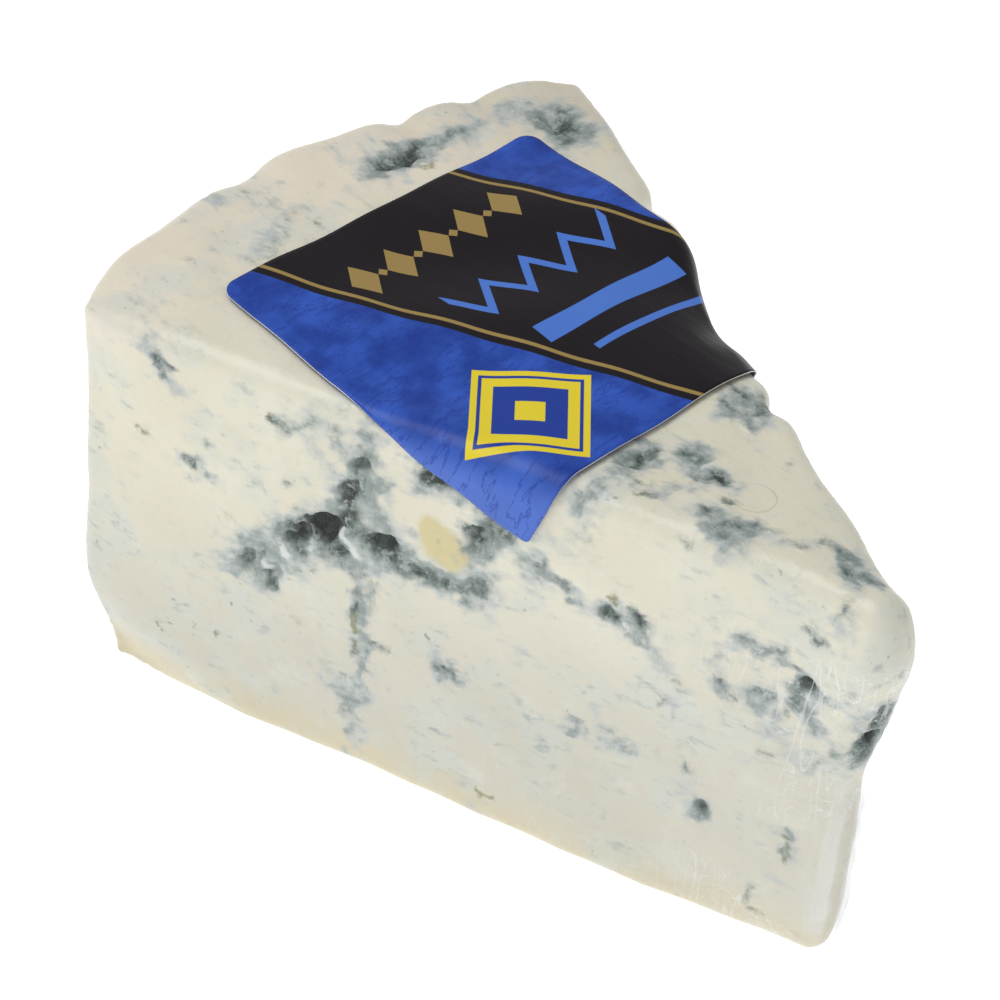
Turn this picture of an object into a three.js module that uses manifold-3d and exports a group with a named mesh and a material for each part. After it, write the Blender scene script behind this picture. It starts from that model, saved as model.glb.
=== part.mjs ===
// A wedge of blue cheese with a square paper label folded over its top edges.
// Millimetres, +Z up. The tip points along +X, the curved rind faces -X, and the origin is under the
// middle of the wedge, on the surface that it rests on.
import * as THREE from "three";
import { mergeVertices } from "three/addons/utils/BufferGeometryUtils.js";
import Module from "manifold-3d";

// Driving dimensions
const wheelRadius = 106.6; // from the wheel's centre to the rind
const sectorAngle = THREE.MathUtils.degToRad(45); // an eighth of the wheel
const wedgeHeight = 57; // half of the wheel's height
const tipBlunt = 4; // where the block's end lies before the tip is rounded
const edgeRound = 3; // the soft edges of a wedge that has been wrapped
const centreX = 54.2; // the wheel's centre, from the point that every place is measured from
const boxMiddle = new THREE.Vector2(-0.55, 0.6); // the middle of the finished wedge, from the same point

const labelLength = 48.8; // from the rind's side to the tip's
const labelWidth = 49.8;
const labelCorner = 2.2; // its corner radius
const labelTipCorner = 0.8; // the radius of the corner that hangs down the front face
const labelThick = 0.3;
const labelGap = 0.45; // clear of the cheese
const labelCentre = new THREE.Vector2(-10.9, 0.2); // on the top face, before it is folded down
const labelTurn = THREE.MathUtils.degToRad(1);
const labelSkew = 0.045; // how far the corners are out of square

// How finely each solid is divided
const stepsAlong = 34;
const stepsAcross = 17;
const stepsUp = 16;
const labelSteps = 22;
const edgeDensity = 0.45; // 0 spaces the steps evenly, towards 1 gathers them at the edges
// The wedge rests on four feet, given in steps along and across its underside, anticlockwise seen
// from above. Between them it is flat, and outside them it stands a little clear.
const footSteps = [
  [4, 2],
  [28, 6],
  [28, 11],
  [4, 15],
];
const footLift = 0.2;
const footMargin = 0.3; // how far inside the feet's outline the flat part starts
const blobRoughness = 0.1; // how far a cavity's outline departs from an oval
const blobProud = 0.15; // the share of its depth that a cavity's cutter stands over the face

const halfAngle = sectorAngle / 2;
const up = new THREE.Vector3(0, 0, 1);
const eastward = new THREE.Vector3(1, 0, 0); // towards the tip
const northward = new THREE.Vector3(0, 1, 0); // towards the back face
const frontNormal = new THREE.Vector3(Math.sin(halfAngle), -Math.cos(halfAngle), 0);
const backNormal = new THREE.Vector3(Math.sin(halfAngle), Math.cos(halfAngle), 0);
const frontAlong = new THREE.Vector3(Math.cos(halfAngle), Math.sin(halfAngle), 0);
const backAlong = new THREE.Vector3(Math.cos(halfAngle), -Math.sin(halfAngle), 0);
const wheelCentre = new THREE.Vector3(centreX, 0, 0);

// How far and which way a point of the sharp wedge lies outside the wedge drawn in by its edge radius:
// past the two cut faces and the point where they meet, past the rind, and past the top or the bottom.
const drawnTip = new THREE.Vector3(centreX - edgeRound / Math.sin(halfAngle), 0, 0);
function pastCutFaces(p) {
  const along = p.y < 0 ? frontAlong : backAlong;
  const normal = p.y < 0 ? frontNormal : backNormal;
  const fromTip = new THREE.Vector3(p.x, p.y, 0).sub(drawnTip);
  if (fromTip.dot(along) > 0) return fromTip;
  return normal.clone().multiplyScalar(Math.max(fromTip.dot(normal), 0));
}
function pastRind(p) {
  const out = new THREE.Vector3(p.x - centreX, p.y, 0);
  return out.setLength(Math.max(out.length() - (wheelRadius - edgeRound), 0));
}
function pastTopOrBottom(p) {
  const inside = THREE.MathUtils.clamp(p.z, edgeRound, wedgeHeight - edgeRound);
  return new THREE.Vector3(0, 0, p.z - inside);
}

// Dents and bulges of the outline: where, how far each way it reaches, and how deep (a bulge is negative).
const dents = [
  { at: [0, 22.4, 57], reach: [8, 7, 14], depth: 2.2 }, // the back edge, bridged by the label
  { at: [5, 20.4, 57], reach: [3.5, 5, 12], depth: 1.3 },
  { at: [12, 17.5, 57], reach: [5, 5, 14], depth: 1 },
  { at: [18.3, 14.9, 57], reach: [2, 3, 10], depth: 1.7 }, // the crevice just past the label
  { at: [-17, 29.5, 57], reach: [3, 3, 8], depth: 1.8 }, // a notch in the back edge
  { at: [46, 3.4, 57], reach: [8, 5, 8], depth: 1.7 },
  { at: [-38, 38.2, 50], reach: [14, 4, 40], depth: 1 }, // the back corner of the rind
  { at: [-46, 33, 57], reach: [6, 6, 12], depth: -0.6 },
  { at: [-44, -40.6, 30], reach: [7, 7, 60], depth: 1.9 }, // its front corner, and the foot of it
  { at: [-44, -36, 57], reach: [8, 8, 10], depth: 0.9 },
  { at: [-38, -37, 0], reach: [15, 12, 8], depth: 1.8 },
  { at: [-44.5, -41, 0], reach: [6, 6, 6], depth: 1.2 },
  { at: [-49, 14.5, 57], reach: [5, 2.2, 10], depth: 1 }, // chips along the rind's top edge
  { at: [-48, 24.5, 57], reach: [5, 2.4, 10], depth: 0.8 },
  { at: [-50.5, -8.5, 57], reach: [6, 3.5, 12], depth: 1 },
  { at: [48, -1, 26], reach: [7, 6, 9], depth: 0.6 }, // the waist of the tip
  { at: [50, 0, 50], reach: [8, 8, 8], depth: -3.3 }, // the overhang above it
  { at: [50, 0, 37], reach: [8, 8, 6], depth: -1.2 },
  { at: [52, 0, 61], reach: [7, 6, 5], depth: 1.2 },
  { at: [50, 0, 0], reach: [8, 7, 8], depth: 0.6 }, // the foot of the tip
];
const dentAt = (p) =>
  dents.reduce((sum, { at, reach, depth }) => {
    const away = Math.hypot(...["x", "y", "z"].map((axis, i) => (p[axis] - at[i]) / reach[i]));
    return sum + depth * Math.exp(-away * away);
  }, 0);

// The long, low swell of a cut and wrapped face, as crossing waves: a height, a wave vector and a start.
const waves = [
  { height: 0.3, along: [0.11, 0.07, 0.13], start: 0.4 },
  { height: 0.22, along: [-0.16, 0.21, 0.09], start: 2.1 },
  { height: 0.15, along: [0.3, -0.12, 0.34], start: 4.0 },
  { height: 0.1, along: [0.42, 0.5, -0.37], start: 1.2 },
];
const swellAt = (p) =>
  waves.reduce((sum, { height, along, start }) => {
    return sum + height * Math.sin(along[0] * p.x + along[1] * p.y + along[2] * p.z + start);
  }, 0);
const reliefAt = (p) => swellAt(p) - dentAt(p);

// Takes a point of the sharp wedge to the rounded one, and gives the direction that faces out there.
function soften(point) {
  const outside = pastCutFaces(point).add(pastRind(point)).add(pastTopOrBottom(point));
  const outward = outside.clone().normalize();
  return { place: point.clone().sub(outside).addScaledVector(outward, edgeRound), outward };
}

const gather = (share) => share - (edgeDensity * Math.sin(2 * Math.PI * share)) / (2 * Math.PI);

// A closed geometry as a solid for cutting, and back.
const wasm = await Module();
wasm.setup();
function toSolid(geometry) {
  const bare = geometry.index ? geometry.toNonIndexed() : geometry.clone();
  bare.deleteAttribute("normal");
  bare.deleteAttribute("uv");
  const merged = mergeVertices(bare, 1e-4);
  return new wasm.Manifold(
    new wasm.Mesh({
      numProp: 3,
      vertProperties: merged.attributes.position.array,
      triVerts: new Uint32Array(merged.index.array),
    }),
  );
}
function toGeometry(solid) {
  const { vertProperties, triVerts } = solid.getMesh();
  const geometry = new THREE.BufferGeometry();
  geometry.setAttribute("position", new THREE.BufferAttribute(new Float32Array(vertProperties), 3));
  geometry.setIndex(new THREE.BufferAttribute(new Uint32Array(triVerts), 1));
  geometry.computeVertexNormals();
  return geometry;
}

// Lifts the underside clear of the surface, except at the feet and well inside their outline.
function standOnFeet(position, feet) {
  const corners = feet.map((i) => new THREE.Vector2(position.getX(i), position.getY(i)));
  const next = (i) => corners[(i + 1) % corners.length];
  const sides = corners.map((corner, i) => next(i).clone().sub(corner).normalize());
  const reachInside = (place) =>
    Math.min(...sides.map((side, i) => side.cross(place.clone().sub(corners[i]))));
  for (let i = 0; i < position.count; i++) {
    const place = new THREE.Vector2(position.getX(i), position.getY(i));
    if (feet.includes(i) || reachInside(place) > footMargin) continue;
    position.setZ(i, Math.max(position.getZ(i), footLift));
  }
}

// The wedge before its cavities: a divided block bent into a sector, softened and swollen.
function wedgeBody() {
  const block = new THREE.BoxGeometry(1, 1, 1, stepsAlong, stepsAcross, stepsUp);
  const position = block.attributes.position;
  const point = new THREE.Vector3();
  const feet = [];
  for (let i = 0; i < position.count; i++) {
    point.fromBufferAttribute(position, i).addScalar(0.5);
    const [along, across] = [Math.round(point.x * stepsAlong), Math.round(point.y * stepsAcross)];
    const foot = footSteps.findIndex((step) => step[0] === along && step[1] === across);
    if (foot >= 0 && point.z === 0) feet[foot] = i;
    const reach = THREE.MathUtils.lerp(wheelRadius, tipBlunt, gather(point.x));
    const turn = (gather(point.y) * 2 - 1) * halfAngle;
    // Towards the tip the arc flattens into the straight break.
    const bow = THREE.MathUtils.lerp(1, 1 / Math.cos(turn), THREE.MathUtils.smoothstep(point.x, 0.5, 1));
    const sharp = new THREE.Vector3(
      centreX - reach * bow * Math.cos(turn),
      reach * bow * Math.sin(turn),
      gather(point.z) * wedgeHeight,
    );
    const { place, outward } = soften(sharp);
    outward.z = Math.max(outward.z, 0); // the underside stays flat
    place.addScaledVector(outward, reliefAt(place));
    position.setXYZ(i, place.x, place.y, place.z);
  }
  standOnFeet(position, feet);
  return toSolid(block);
}

// The faces that hold cavities. Each gives a place, the direction along the face and the one out of it.
// On a cut face the place is measured from the rind and up, on top it is X and Y, on the rind it is
// the run round it and up, and at the tip it is Y and up.
function onCutFace(along, out, fromRind, height) {
  const at = wheelCentre.clone().addScaledVector(along, fromRind - wheelRadius);
  return { at: at.setZ(height), along, out };
}
const faces = {
  front: (s, t) => onCutFace(frontAlong, frontNormal, s, t),
  back: (s, t) => onCutFace(backAlong, backNormal, s, t),
  top: (s, t) => ({ at: new THREE.Vector3(s, t, wedgeHeight), along: eastward, out: up }),
  tip: (s, t) => ({ at: new THREE.Vector3(drawnTip.x + edgeRound, s, t), along: northward, out: eastward }),
  rind: (s, t) => {
    const out = new THREE.Vector3(-Math.cos(s / wheelRadius), Math.sin(s / wheelRadius), 0);
    const along = new THREE.Vector3(out.y, -out.x, 0);
    return { at: wheelCentre.clone().addScaledVector(out, wheelRadius).setZ(t), along, out };
  },
};

// Cavities that show: the face, the two measures of the place on it, then length, width, depth and
// tilt in degrees.
const shownCavities = [
  // The long crevice across the front face
  ["front", 25.4, 27.4, 5.4, 2.6, 2.2, 45],
  ["front", 28.4, 28, 6.4, 2.3, 2, 70],
  ["front", 34.2, 37, 11.5, 4.4, 4, 38],
  ["front", 37, 35, 5, 3.2, 2.6, -10],
  ["front", 43.2, 38.4, 5.6, 3.8, 2.8, 60],
  ["front", 48.4, 37.2, 6.4, 2.4, 2.3, -8],
  ["front", 54.6, 37.6, 5.2, 2.8, 2.3, 40],
  // The arm that turns up from it, and the crack below
  ["front", 38.4, 43.2, 7.2, 3.2, 3, 72],
  ["front", 39.6, 48.6, 5.2, 1.5, 1.8, 84],
  ["front", 40.2, 27.6, 6, 1, 1.5, 92],
  ["front", 40.3, 21.8, 4, 1, 1.3, 80],
  // Round the waxy patch under the label's corner
  ["front", 49.4, 51.6, 5.6, 3.6, 2.6, 5],
  ["front", 55, 44.8, 7, 3.6, 3, 62],
  ["front", 57.6, 48.4, 4.6, 2, 1.8, 25],
  // Towards the tip
  ["front", 65.4, 43.4, 4.6, 1.5, 1.1, -40],
  ["front", 71.6, 42.2, 3.4, 2.2, 1.8, 70],
  ["front", 86.9, 44.8, 2.6, 1.5, 1.1, 30],
  ["front", 93.8, 41.6, 4.2, 2, 1.8, 68],
  ["front", 88.8, 38, 2.6, 2, 1.4, 30],
  ["front", 85, 17.6, 2.2, 1.8, 1.4, 80],
  ["front", 68.4, 22, 2.6, 1.3, 1.1, 60],
  ["front", 52.4, 23, 2.6, 1.6, 1.2, -30],
  ["front", 95.4, 17.6, 4.6, 1.3, 0.9, 100],
  ["tip", -0.5, 41.6, 2.8, 2, 1.8, 90],
  ["tip", -0.8, 36.6, 4.6, 2.8, 2.2, 90],
  // Towards the rind
  ["front", 18.2, 40.2, 2.8, 1.5, 1.2, 60],
  ["front", 13.8, 53.2, 2.6, 1.5, 1, -30],
  // On top
  ["top", -35.8, 29, 7.6, 4, 1.6, -40],
  ["top", -42.4, 9.2, 9, 2.8, 2, 80],
  ["top", 23.2, -1, 2.8, 1.8, 1.4, 10],
  ["top", 19.4, -1.6, 4, 1.5, 1.2, -40],
  ["top", 16.4, -5.4, 4.6, 1.6, 1.5, 85],
  ["top", 17.2, -15, 4.2, 2.2, 1.2, -60],
  ["top", 29.4, -6.6, 5.4, 2.2, 1, -15],
  ["top", 16.8, 9, 5.6, 1.8, 2, 45],
  ["top", 42.8, 0.4, 4.4, 1.6, 1.2, -10],
];

// Cavities of the faces behind, one for each stretch of the face, scattered with a fixed seed.
const scatterSeed = 11;
const hiddenRuns = [
  { face: "back", from: 10, to: 94, count: 12, length: [3.4, 9] },
  { face: "rind", from: -30, to: 30, count: 3, length: [2.4, 3.6] },
];
function seededRandom(seed) {
  let state = seed;
  return () => {
    state = (state * 1664525 + 1013904223) % 4294967296;
    return state / 4294967296;
  };
}
function hiddenCavities() {
  const random = seededRandom(scatterSeed);
  const between = (low, high) => low + (high - low) * random();
  return hiddenRuns.flatMap(({ face, from, to, count, length }) => {
    const stretch = (to - from) / count;
    return Array.from({ length: count }, (_, i) => {
      const place = from + (i + between(0.2, 0.8)) * stretch;
      const long = between(...length);
      const wide = long * between(0.35, 0.55);
      return [face, place, between(10, 46), long, wide, between(1.1, 2.4), between(-50, 50)];
    });
  });
}

// A cavity is cut by a rough blob that stands a little proud of the face.
function blob(length, width, depth, seed) {
  const shape = new THREE.IcosahedronGeometry(1, length < 6 ? 1 : 2);
  const position = shape.attributes.position;
  const point = new THREE.Vector3();
  for (let i = 0; i < position.count; i++) {
    point.fromBufferAttribute(position, i);
    const lumps = [3.1 * point.x + seed, 4.3 * point.y + 2 * seed, 5.7 * point.z - seed];
    point.multiplyScalar(1 + blobRoughness * lumps.reduce((sum, angle) => sum + Math.sin(angle), 0));
    position.setXYZ(i, (point.x * length) / 2, (point.y * width) / 2, point.z * depth);
  }
  return shape;
}
function cavitySolid([face, s, t, length, width, depth, tilt], index) {
  const { at, along, out } = faces[face](s, t);
  const across = new THREE.Vector3().crossVectors(out, along);
  const place = at.clone().addScaledVector(out, reliefAt(at) + blobProud * depth);
  const matrix = new THREE.Matrix4().makeBasis(along, across, out).setPosition(place);
  matrix.multiply(new THREE.Matrix4().makeRotationZ(THREE.MathUtils.degToRad(tilt)));
  return toSolid(blob(length, width, depth, index).applyMatrix4(matrix));
}

function cheeseGeometry() {
  const cutters = [...shownCavities, ...hiddenCavities()].map(cavitySolid);
  return toGeometry(cutters.reduce((body, cutter) => body.subtract(cutter), wedgeBody()));
}

// Where a point of the flat label comes to lie once its edges are folded down the two cut faces,
// at a height over the cheese.
function foldLabel(x, y, height) {
  const flat = new THREE.Vector3(x, y, wedgeHeight);
  const outward = up.clone();
  const place = flat.clone();
  for (const normal of [frontNormal, backNormal]) {
    const past = flat.clone().sub(wheelCentre).dot(normal) + edgeRound; // run of paper past the bend's start
    if (past <= 0) continue;
    const bend = Math.min(past / edgeRound, Math.PI / 2);
    const drop = Math.max(past - (edgeRound * Math.PI) / 2, 0);
    place.addScaledVector(normal, edgeRound * Math.sin(bend) - past);
    place.z -= edgeRound * (1 - Math.cos(bend)) + drop;
    outward.copy(normal).multiplyScalar(Math.sin(bend)).addScaledVector(up, Math.cos(bend));
  }
  return place.addScaledVector(outward, reliefAt(place) + height);
}

// A coordinate's reach past the rectangle inside the label's four rounded corners.
function pastInner(value, side, radius) {
  const inner = side / 2 - radius;
  return value - THREE.MathUtils.clamp(value, -inner, inner);
}

function labelGeometry() {
  const sheet = new THREE.BoxGeometry(labelLength, labelWidth, 1, labelSteps, labelSteps, 1);
  const position = sheet.attributes.position;
  const point = new THREE.Vector2();
  for (let i = 0; i < position.count; i++) {
    point.set(position.getX(i), position.getY(i));
    const radius = point.x > 0 && point.y < 0 ? labelTipCorner : labelCorner;
    const over = new THREE.Vector2(
      pastInner(point.x, labelLength, radius),
      pastInner(point.y, labelWidth, radius),
    );
    if (over.x !== 0 && over.y !== 0) {
      // A square corner is drawn in to a round one.
      point.addScaledVector(over, Math.max(Math.abs(over.x), Math.abs(over.y)) / over.length() - 1);
    }
    point.x -= labelSkew * point.y;
    point.rotateAround(new THREE.Vector2(), labelTurn).add(labelCentre);
    const height = labelGap + (position.getZ(i) > 0 ? labelThick : 0);
    position.setXYZ(i, ...foldLabel(point.x, point.y, height));
  }
  return toGeometry(toSolid(sheet));
}

// What each sub-part is made of
const paste = new THREE.MeshStandardMaterial({ color: 0xe9e2cb, roughness: 0.5, metalness: 0 });
const printedPaper = new THREE.MeshStandardMaterial({ color: 0x2f55b8, roughness: 0.4, metalness: 0 });

const part = new THREE.Group();
const wedge = new THREE.Group();
wedge.position.set(-boxMiddle.x, -boxMiddle.y, 0);
part.add(wedge);

const cheese = new THREE.Mesh(cheeseGeometry(), paste);
cheese.name = "cheese";
const label = new THREE.Mesh(labelGeometry(), printedPaper);
label.name = "label";
wedge.add(cheese, label);

export default part;
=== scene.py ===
# %% [markdown]
# A wedge of blue cheese, wrapped in clear film, with a paper label folded over its top edges.
# The wedge is an eighth of a wheel, cut again at half height: two flat cut faces meet at a blunt
# tip, a curved rind closes the other end, and blue-green mould runs through the paste in veins and
# holes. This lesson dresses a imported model, which is loaded first and gives every place and size.

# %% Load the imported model
import math
import random

import bmesh
import bpy
import numpy as np
from mathutils import Matrix, Vector, noise


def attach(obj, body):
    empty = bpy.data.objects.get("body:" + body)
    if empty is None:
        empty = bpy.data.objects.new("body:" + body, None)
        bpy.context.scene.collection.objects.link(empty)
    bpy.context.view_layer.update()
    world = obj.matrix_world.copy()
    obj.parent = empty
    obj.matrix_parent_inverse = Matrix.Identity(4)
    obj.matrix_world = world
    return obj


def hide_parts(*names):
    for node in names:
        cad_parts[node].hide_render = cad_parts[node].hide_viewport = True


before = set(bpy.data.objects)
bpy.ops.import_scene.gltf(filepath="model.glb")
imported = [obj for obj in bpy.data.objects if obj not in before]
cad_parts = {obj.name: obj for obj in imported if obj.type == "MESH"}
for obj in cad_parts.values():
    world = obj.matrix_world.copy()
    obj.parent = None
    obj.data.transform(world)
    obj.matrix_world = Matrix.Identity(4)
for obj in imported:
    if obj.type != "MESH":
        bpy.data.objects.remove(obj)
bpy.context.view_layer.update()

# %% [markdown]
# Cheese is cut to round numbers, so the whole block follows from a few measures: the wheel's
# radius, the angle of the cut, half of the wheel's height, and how far the film has rounded the
# edges. Lengths are in millimetres here, because a cheesemaker's rule is, and they turn into metres
# only when a mesh is written.

# %% The wedge's measures
wheel_radius = 106.6
half_angle = math.radians(45) / 2
wedge_height = 57.0
tip_blunt = 4.0
edge_round = 3.0
centre_x = 54.2
box_middle = np.array([-0.55, 0.6, 0.0])
metres = 0.001
cheese_inset = 0.25
film_lift = 0.02

wheel_centre = np.array([centre_x, 0.0, 0.0])
drawn_tip = np.array([centre_x - edge_round / math.sin(half_angle), 0.0, 0.0])
sine, cosine = math.sin(half_angle), math.cos(half_angle)
print("a wedge of", round(2 * math.degrees(half_angle)), "degrees,", wedge_height, "mm high")

# %% [markdown]
# A freshly cut block has sharp edges, and the film presses them round. One rule rounds all of them:
# draw the sharp wedge in by the edge radius, find how far a point lies outside that smaller wedge,
# and put the point one radius out from it. A bevel would give the same edge on a few faces, but the
# rule also works on a dense mesh, where a bevel has no single edge to hold.

# %% Rounding the edges
def lengths(vectors):
    return np.linalg.norm(vectors, axis=1, keepdims=True)


def unit(vectors):
    return vectors / np.maximum(lengths(vectors), 1e-9)


def cut_face_directions(points):
    side = np.where(points[:, 1] < 0, -1.0, 1.0)
    flat = np.zeros_like(side)
    along = np.column_stack([flat + cosine, -side * sine, flat])
    normal = np.column_stack([flat + sine, side * cosine, flat])
    return along, normal


def past_cut_faces(points):
    along, normal = cut_face_directions(points)
    from_tip = (points - drawn_tip) * [1, 1, 0]
    run = np.sum(from_tip * along, axis=1, keepdims=True)
    beyond = np.maximum(np.sum(from_tip * normal, axis=1, keepdims=True), 0)
    return np.where(run > 0, from_tip, normal * beyond)


def past_rind(points):
    out = (points - wheel_centre) * [1, 1, 0]
    return unit(out) * np.maximum(lengths(out) - (wheel_radius - edge_round), 0)


def past_top_or_bottom(points):
    over = points[:, 2] - np.clip(points[:, 2], edge_round, wedge_height - edge_round)
    return np.column_stack([np.zeros((len(points), 2)), over])


def soften(points):
    outside = past_cut_faces(points) + past_rind(points) + past_top_or_bottom(points)
    outward = unit(outside)
    return points - outside + outward * edge_round, outward


# %% [markdown]
# No cut face is a true plane. The knife drags, the block slumps a little in its film, and crumbs
# break from the edges. The slow swell is a sum of crossing waves, and each dent or bulge is a soft
# bump with a place, a reach and a depth, so every one of them can be moved by hand.

# %% The swell and the dents
swells = [
    (0.3, (0.11, 0.07, 0.13), 0.4),
    (0.22, (-0.16, 0.21, 0.09), 2.1),
    (0.15, (0.3, -0.12, 0.34), 4.0),
    (0.1, (0.42, 0.5, -0.37), 1.2),
]
dents = [
    ((0, 22.4, 57), (8, 7, 14), 2.2),
    ((5, 20.4, 57), (3.5, 5, 12), 1.3),
    ((12, 17.5, 57), (5, 5, 14), 1.0),
    ((18.3, 14.9, 57), (2, 3, 10), 1.7),
    ((-17, 29.5, 57), (3, 3, 8), 1.8),
    ((46, 3.4, 57), (8, 5, 8), 1.7),
    ((-38, 38.2, 50), (14, 4, 40), 1.0),
    ((-46, 33, 57), (6, 6, 12), -0.6),
    ((-44, -40.6, 30), (7, 7, 60), 1.9),
    ((-44, -36, 57), (8, 8, 10), 0.9),
    ((-38, -37, 0), (15, 12, 8), 1.8),
    ((-44.5, -41, 0), (6, 6, 6), 1.2),
    ((-49, 14.5, 57), (5, 2.2, 10), 1.0),
    ((-48, 24.5, 57), (5, 2.4, 10), 0.8),
    ((-50.5, -8.5, 57), (6, 3.5, 12), 1.0),
    ((48, -1, 26), (7, 6, 9), 0.6),
    ((50, 0, 50), (8, 8, 8), -3.3),
    ((50, 0, 37), (8, 8, 6), -1.2),
    ((52, 0, 61), (7, 6, 5), 1.2),
    ((50, 0, 0), (8, 7, 8), 0.6),
]


def relief(points):
    height = np.zeros(len(points))
    for tall, along, start in swells:
        height += tall * np.sin(points @ np.array(along) + start)
    for place, reach, depth in dents:
        away = np.linalg.norm((points - place) / np.array(reach), axis=1)
        height -= depth * np.exp(-away * away)
    return height[:, None]


foot_corner = np.array([-44.0, -41.0, 0.0])
corner_reach = np.array([12.0, 9.0, 8.0])
corner_draw = np.array([2.2, 0.8, 0.0])


def shaped(points, lift):
    """The wrapped surface, lifted out from or sunk below it by lift."""
    place, outward = soften(points)
    outward[:, 2] = np.maximum(outward[:, 2], 0)
    place = place + outward * (relief(place) + lift)
    place[:, 2] = np.maximum(place[:, 2], max(-lift, 0) * 0.4)
    away = lengths((place - foot_corner) / corner_reach)
    return place + corner_draw * np.exp(-away * away)


# %% [markdown]
# Every mould mark and hole is placed on one of the wedge's faces by two measures, as one would with
# a ruler on the real thing: along the face from the rind and up, or across the top. This cell turns
# a point in space into those two measures and its depth under the face.

# %% Rulers on the faces
def on_cut_face(points, side):
    from_centre = points - wheel_centre
    run = from_centre[:, 0] * cosine - side * from_centre[:, 1] * sine
    depth = from_centre[:, 0] * sine + side * from_centre[:, 1] * cosine
    return wheel_radius + run, points[:, 2], depth


def on_rind(points):
    from_centre = points - wheel_centre
    turn = np.arctan2(from_centre[:, 1], -from_centre[:, 0])
    depth = np.linalg.norm(from_centre[:, :2], axis=1) - wheel_radius
    return wheel_radius * turn, points[:, 2], depth


rulers = {
    "front": lambda p: on_cut_face(p, -1),
    "back": lambda p: on_cut_face(p, 1),
    "top": lambda p: (p[:, 0], p[:, 1], p[:, 2] - wedge_height),
    "under": lambda p: (p[:, 0], p[:, 1], -p[:, 2]),
    "tip": lambda p: (p[:, 1], p[:, 2], p[:, 0] - (drawn_tip[0] + edge_round)),
    "rind": on_rind,
}
print("faces with a ruler:", ", ".join(rulers))

# %% [markdown]
# Mould grows only where air gets in, so the veins follow gaps between the curds, and the darkest
# ones stay open as holes. Each hole has a face, its two measures, then length, width, depth and
# tilt. The holes of the faces that are out of sight are scattered by a seeded draw.

# %% The holes
holes = [
    ("front", 25.4, 27.4, 5.4, 2.6, 2.2, 45),
    ("front", 28.4, 28, 6.4, 2.3, 2, 70),
    ("front", 34.2, 37, 11.5, 4.4, 4, 38),
    ("front", 37, 35, 5, 3.2, 2.6, -10),
    ("front", 43.2, 38.4, 5.6, 3.8, 2.8, 60),
    ("front", 48.4, 37.2, 6.4, 2.4, 2.3, -8),
    ("front", 54.6, 37.6, 5.2, 2.8, 2.3, 40),
    ("front", 38.4, 43.2, 7.2, 3.2, 3, 72),
    ("front", 39.6, 48.6, 5.2, 1.5, 1.8, 84),
    ("front", 40.2, 27.6, 6, 1, 1.5, 92),
    ("front", 40.3, 21.8, 4, 1, 1.3, 80),
    ("front", 49.4, 51.6, 5.6, 3.6, 2.6, 5),
    ("front", 55, 44.8, 7, 3.6, 3, 62),
    ("front", 57.6, 48.4, 4.6, 2, 1.8, 25),
    ("front", 65.4, 43.4, 4.6, 1.5, 1.1, -40),
    ("front", 71.6, 42.2, 3.4, 2.2, 1.8, 70),
    ("front", 86.9, 44.8, 2.6, 1.5, 1.1, 30),
    ("front", 93.8, 41.6, 4.2, 2, 1.8, 68),
    ("front", 88.8, 38, 2.6, 2, 1.4, 30),
    ("front", 85, 17.6, 2.2, 1.8, 1.4, 80),
    ("front", 68.4, 22, 2.6, 1.3, 1.1, 60),
    ("front", 52.4, 23, 2.6, 1.6, 1.2, -30),
    ("front", 95.4, 17.6, 4.6, 1.3, 0.9, 100),
    ("tip", -0.5, 41.6, 2.8, 2, 1.8, 90),
    ("tip", -0.8, 36.6, 4.6, 2.8, 2.2, 90),
    ("front", 18.2, 40.2, 2.8, 1.5, 1.2, 60),
    ("front", 13.8, 53.2, 2.6, 1.5, 1, -30),
    ("top", -35.8, 29, 7.6, 4, 1.6, -40),
    ("top", -42.4, 9.2, 9, 2.8, 2, 80),
    ("top", 23.2, -1, 2.8, 1.8, 1.4, 10),
    ("top", 19.4, -1.6, 4, 1.5, 1.2, -40),
    ("top", 16.4, -5.4, 4.6, 1.6, 1.5, 85),
    ("top", 17.2, -15, 4.2, 2.2, 1.2, -60),
    ("top", 29.4, -6.6, 5.4, 2.2, 1, -15),
    ("top", 16.8, 9, 5.6, 1.8, 2, 45),
    ("top", 42.8, 0.4, 4.4, 1.6, 1.2, -10),
]
hidden_runs = [("back", 10, 94, 12, (3.4, 9)), ("rind", -30, 30, 3, (2.4, 3.6))]


def seeded_random(seed):
    state = seed
    while True:
        state = (state * 1664525 + 1013904223) % 4294967296
        yield state / 4294967296


draw = seeded_random(11)


def between(low, high):
    return low + (high - low) * next(draw)


for face, start, end, count, long_range in hidden_runs:
    stretch = (end - start) / count
    for i in range(count):
        place = start + (i + between(0.2, 0.8)) * stretch
        long = between(*long_range)
        wide = long * between(0.35, 0.55)
        holes.append((face, place, between(10, 46), long, wide,
                      between(1.1, 2.4), between(-50, 50)))
print(len(holes), "holes")

# %% [markdown]
# Between the holes the mould shows as smears, dots and hazy clouds. Each mark is a stroke: the
# points that it runs through on its face, its half width and its strength. Five lists hold five
# kinds: dark mould, the pale blue haze round it, the olive of old mould, a waxy spot and chalky
# crumbs. A stroke list reads like a sketch and stays editable, which a painted texture would not.

# %% Dark mould
def on_face(face, marks):
    """The marks with the name of their face put first."""
    return [(face, *mark) for mark in marks]


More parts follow.
